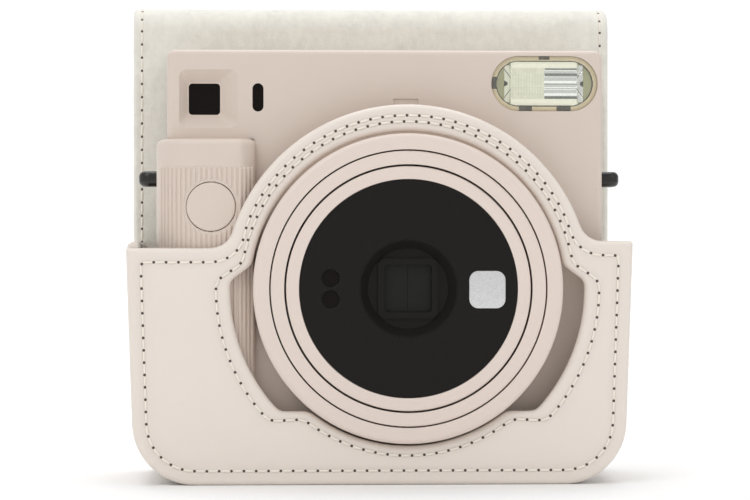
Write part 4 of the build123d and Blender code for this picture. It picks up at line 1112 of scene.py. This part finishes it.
def cell_sleeve(name):
    """A cell's printed sleeve: a dark band and a pale one, with a steel end."""
    finish = Finish(name, Roughness=0.3, IOR=1.5)
    _, _, z = finish.axes()
    scuff = finish.noise(2.0, 4.0, 0.7)
    band = (z + scuff * 0.3).ramp(36.0, 36.6)
    finish.set(Base_Color=finish.blend(band, (0.03, 0.03, 0.035), (0.55, 0.50, 0.30)), Metallic=band * 0.3)
    finish.set(Roughness=scuff * 0.12 + 0.24)
    return finish.bump(scuff, 0.01, 0.3).material


def clear_window(name, tint, roughness=0.03, alpha=0.25):
    """Clear plastic seen through: mostly see-through with a polished skin."""
    finish = Finish(name, IOR=1.49, Specular_IOR_Level=0.6)
    haze = finish.noise(3.0, 4.0, 0.6)
    finish.set(Base_Color=finish.blend(haze, shade(tint, 0.96), shade(tint, 1.04)))
    finish.set(Alpha=haze * 0.06 + (alpha - 0.03), Roughness=haze * 0.03 + roughness)
    return finish.material


def all_finishes(case, camera):
    """One finish for each material slot of the record."""
    body, ring, face = tuple(camera.body_colour), tuple(camera.ring_colour), tuple(camera.face_colour)
    grip = shade(body, 1.01)
    finishes = {
        "body_plastic": moulded("Shell plastic", body, 0.45),
        "grip_plastic": moulded("Grip plastic", grip, 0.40, 0.3, 0.008),
        "button_plastic": moulded("Button plastic", shade(body, 1.03), 0.36, 0.3, 0.005),
        "ring_plastic": moulded("Lens ring plastic", ring, 0.38, 0.25, 0.006),
        "black_plastic": moulded("Black structure plastic", (0.014, 0.014, 0.014), 0.5, shine=0.15),
        "face_black": moulded("Lens face black", face, 0.42, 0.3, 0.006, shine=0.12),
        "dark_window": gloss("Dark window", (0.007, 0.005, 0.004), 0.10, Specular_IOR_Level=0.12),
        "gear_plastic": moulded("Gear nylon", (0.62, 0.60, 0.54), 0.4),
        "flash_bezel": gloss("Flash bezel", (0.66, 0.64, 0.50), 0.20),
        "flash_window": clear_window("Flash window", (0.95, 0.96, 0.88), 0.04, 0.07),
        "reflector": metal("Flash reflector", (0.90, 0.90, 0.84), 0.16, (1.0, 1.0, 0.1)),
        "tube_glass": gloss("Flash tube", (0.82, 0.84, 0.80), 0.05, Transmission_Weight=0.4),
        "lens_glass": gloss("Lens glass", (0.02, 0.022, 0.03), 0.03, Coat_Weight=1.0),
        "mirror": metal("Mirror", (0.96, 0.96, 0.96), 0.10),
        "barrier_metal": moulded("Barrier leaf paint", (0.012, 0.012, 0.011), 0.36, 0.3, 0.005, shine=0.2),
        "screw_steel": metal("Screw steel", (0.5, 0.5, 0.5), 0.35),
        "spring_steel": metal("Spring steel", (0.62, 0.62, 0.63), 0.25),
        "contact_metal": metal("Nickel contact", (0.72, 0.70, 0.66), 0.28),
        "stud_metal": metal("Stud nickel", (0.75, 0.73, 0.70), 0.22),
        "battery_can": cell_sleeve("Cell sleeve"),
        "capacitor_sleeve": moulded("Capacitor sleeve", (0.02, 0.02, 0.05), 0.3),
        "circuit_board": wound_board("Circuit board"),
        "film_sheet": moulded("Film sheet", (0.03, 0.03, 0.035), 0.3, 1.5, 0.01),
        "roller_rubber": moulded("Roller rubber", (0.02, 0.02, 0.02), 0.75, 0.5, 0.02),
        "lug_black": gloss("Lug black", (0.016, 0.014, 0.013), 0.22),
        "case_leather": leather("Case leather", tuple(case.leather_colour), seams=True),
        "case_board": suede("Case board lining", tuple(case.lining_colour)),
    }
    return finishes


def thread_finish(colour=(0.95, 0.89, 0.80)):
    """Waxed thread: two plies twisted together."""
    finish = Finish("Sewing thread", Roughness=0.55, Sheen_Weight=0.2)
    ply = finish.noise(0.35, 2.0, 0.5)
    finish.set(Base_Color=finish.blend(ply, shade(colour, 0.86), shade(colour, 1.05)))
    return finish.bump(ply, 0.05, 0.8).material


def needle_hole_shade_finish():
    """The shade inside a needle hole."""
    finish = Finish("Needle hole shade", Roughness=0.9)
    grain = finish.noise(0.3)
    finish.set(Base_Color=finish.blend(grain, (0.06, 0.045, 0.035), (0.12, 0.09, 0.07)))
    return finish.material


FINISHES = {}


def sewn_materials():
    case = bpy.context.scene.leather_case
    if "thread" not in FINISHES:
        FINISHES["thread"] = thread_finish()
        FINISHES["hole"] = needle_hole_shade_finish()
        FINISHES["suede"] = suede("Suede lining", tuple(case.lining_colour))
    return [FINISHES["case_leather"], FINISHES["suede"], FINISHES["thread"], FINISHES["hole"]]


# ------------------------------------------------------------------ the stage


def studio(view_from_left, distance, focal):
    """A white sweep, soft panels of light and the camera."""
    scene = bpy.context.scene
    curve = 0.7 + 0.9 * np.sin(np.linspace(0, np.pi / 2, 24))[1:]
    depth = np.concatenate([np.linspace(-1.6, 0.7, 12), curve, [1.6, 1.6]])
    rise = np.concatenate([np.zeros(12), 0.9 * (1 - np.cos(np.linspace(0, np.pi / 2, 24)))[1:], [1.8, 2.8]])
    across = np.linspace(-2.6, 2.6, 8)
    sweep = np.stack(np.broadcast_arrays(across[None, :], depth[:, None], rise[:, None]), axis=-1) / MM
    finish = Finish("Studio sweep", Roughness=0.9, Specular_IOR_Level=0.1)
    paper = finish.noise(3.0)
    finish.set(Base_Color=finish.blend(paper, (0.90, 0.90, 0.90), (0.92, 0.92, 0.92)))
    floor = make_piece("studio_sweep", sweep.reshape(-1, 3), grid_faces(len(depth), len(across)), [finish.material])

    world = bpy.data.worlds.new("Studio")
    world.use_nodes = True
    world.node_tree.nodes["Background"].inputs["Color"].default_value = (1.0, 1.0, 1.0, 1.0)
    world.node_tree.nodes["Background"].inputs["Strength"].default_value = 0.60
    scene.world = world

    target = Vector((-0.0017, -0.032, 0.0671))
    for name, place, size, power, colour in (
        ("Key panel", (-0.9, -1.3, 1.5), 1.1, 9.0, (1.0, 0.99, 0.97)),
        ("Fill panel", (1.3, -1.2, 0.8), 1.2, 3.0, (1.0, 1.0, 1.0)),
        ("Top panel", (0.0, 0.1, 1.7), 1.3, 7.0, (1.0, 1.0, 1.0)),
        ("Sweep light", (0.0, 0.9, 1.9), 1.6, 14.0, (1.0, 1.0, 1.0)),
    ):
        lamp = bpy.data.lights.new(name, "AREA")
        lamp.energy, lamp.size, lamp.color = power, size, colour
        panel = bpy.data.objects.new(name, lamp)
        panel.location = place
        panel.rotation_euler = (target - Vector(place)).to_track_quat("-Z", "Y").to_euler()
        scene.collection.objects.link(panel)

    lens = bpy.data.cameras.new("View")
    lens.lens, lens.sensor_width = focal, 36.0
    lens.clip_start = 0.01
    view = bpy.data.objects.new("View", lens)
    turn = np.radians(view_from_left)
    view.location = target + Vector((-np.sin(turn), -np.cos(turn), 0.0)) * distance
    view.rotation_euler = (target - view.location).to_track_quat("-Z", "Y").to_euler()
    scene.collection.objects.link(view)
    scene.camera = view
    scene.view_settings.view_transform = "Standard"


# ------------------------------------------------------------------ operators


class CAMERA_OT_finishes(bpy.types.Operator):
    """Gives every carried-over node the finish of its slot"""

    bl_idname = "instant_camera.finishes"
    bl_label = "Finishes"

    def execute(self, context):
        FINISHES.update(all_finishes(context.scene.leather_case, context.scene.instant_camera))
        slots = {part["node"]: part["material_slot"] for part in frame["record"]["subparts"]}
        for name, node in NODES.items():
            for place in node.material_slots:
                place.material = FINISHES[slots[name]]
        return {"FINISHED"}


class CAMERA_OT_grip(bpy.types.Operator):
    """Builds the ribbed grip"""

    bl_idname = "instant_camera.grip"
    bl_label = "Ribbed grip"

    def execute(self, context):
        ribbed_grip(context.scene.instant_camera, [FINISHES["grip_plastic"]])
        return {"FINISHED"}


class CAMERA_OT_flash(bpy.types.Operator):
    """Builds the flash's bezel, lens and reflector facets"""

    bl_idname = "instant_camera.flash"
    bl_label = "Flash"

    def execute(self, context):
        flash_moulding(flash_materials())
        return {"FINISHED"}


class CAMERA_OT_case_front(bpy.types.Operator):
    """Builds the case's padded front panel with its stitching"""

    bl_idname = "instant_camera.case_front"
    bl_label = "Case front"

    def execute(self, context):
        case_panel(context.scene.leather_case, sewn_materials())
        return {"FINISHED"}


class CAMERA_OT_case_sides(bpy.types.Operator):
    """Builds the band round the case's sides and base"""

    bl_idname = "instant_camera.case_sides"
    bl_label = "Case sides"

    def execute(self, context):
        case_strip(context.scene.leather_case, sewn_materials())
        return {"FINISHED"}


class CAMERA_OT_case_back(bpy.types.Operator):
    """Builds the case's back, fold, flap and lip from one sheet"""

    bl_idname = "instant_camera.case_back"
    bl_label = "Case back and flap"

    def execute(self, context):
        case_back_and_flap(context.scene.leather_case, sewn_materials())
        return {"FINISHED"}


class CAMERA_OT_stage(bpy.types.Operator):
    """Sets up the sweep, the lights and the view"""

    bl_idname = "instant_camera.stage"
    bl_label = "Studio"

    def execute(self, context):
        studio(2.6, 0.8, 135.0)
        return {"FINISHED"}


class CAMERA_PT_panel(bpy.types.Panel):
    """Lists the building steps"""

    bl_idname = "CAMERA_PT_panel"
    bl_label = "Instant camera"
    bl_space_type = "VIEW_3D"
    bl_region_type = "UI"
    bl_category = "Instant Camera"

    def draw(self, context):
        for settings in (context.scene.instant_camera, context.scene.leather_case):
            for key in settings.bl_rna.properties.keys():
                if key not in ("rna_type", "name"):
                    self.layout.prop(settings, key)
        for step in STEPS:
            self.layout.operator(step.bl_idname)


STEPS = (
    CAMERA_OT_finishes,
    CAMERA_OT_grip,
    CAMERA_OT_flash,
    CAMERA_OT_case_front,
    CAMERA_OT_case_sides,
    CAMERA_OT_case_back,
    CAMERA_OT_stage,
)
CLASSES = (CaseSettings, CameraSettings, *STEPS, CAMERA_PT_panel)


def register():
    for item in CLASSES:
        bpy.utils.register_class(item)
    bpy.types.Scene.leather_case = bpy.props.PointerProperty(type=CaseSettings)
    bpy.types.Scene.instant_camera = bpy.props.PointerProperty(type=CameraSettings)


def unregister():
    del bpy.types.Scene.instant_camera
    del bpy.types.Scene.leather_case
    for item in reversed(CLASSES):
        bpy.utils.unregister_class(item)


def main():
    register()
    for step in STEPS:
        group, name = step.bl_idname.split(".")
        getattr(getattr(bpy.ops, group), name)()
    bpy.context.view_layer.update()


if __name__ == "__main__":
    main()
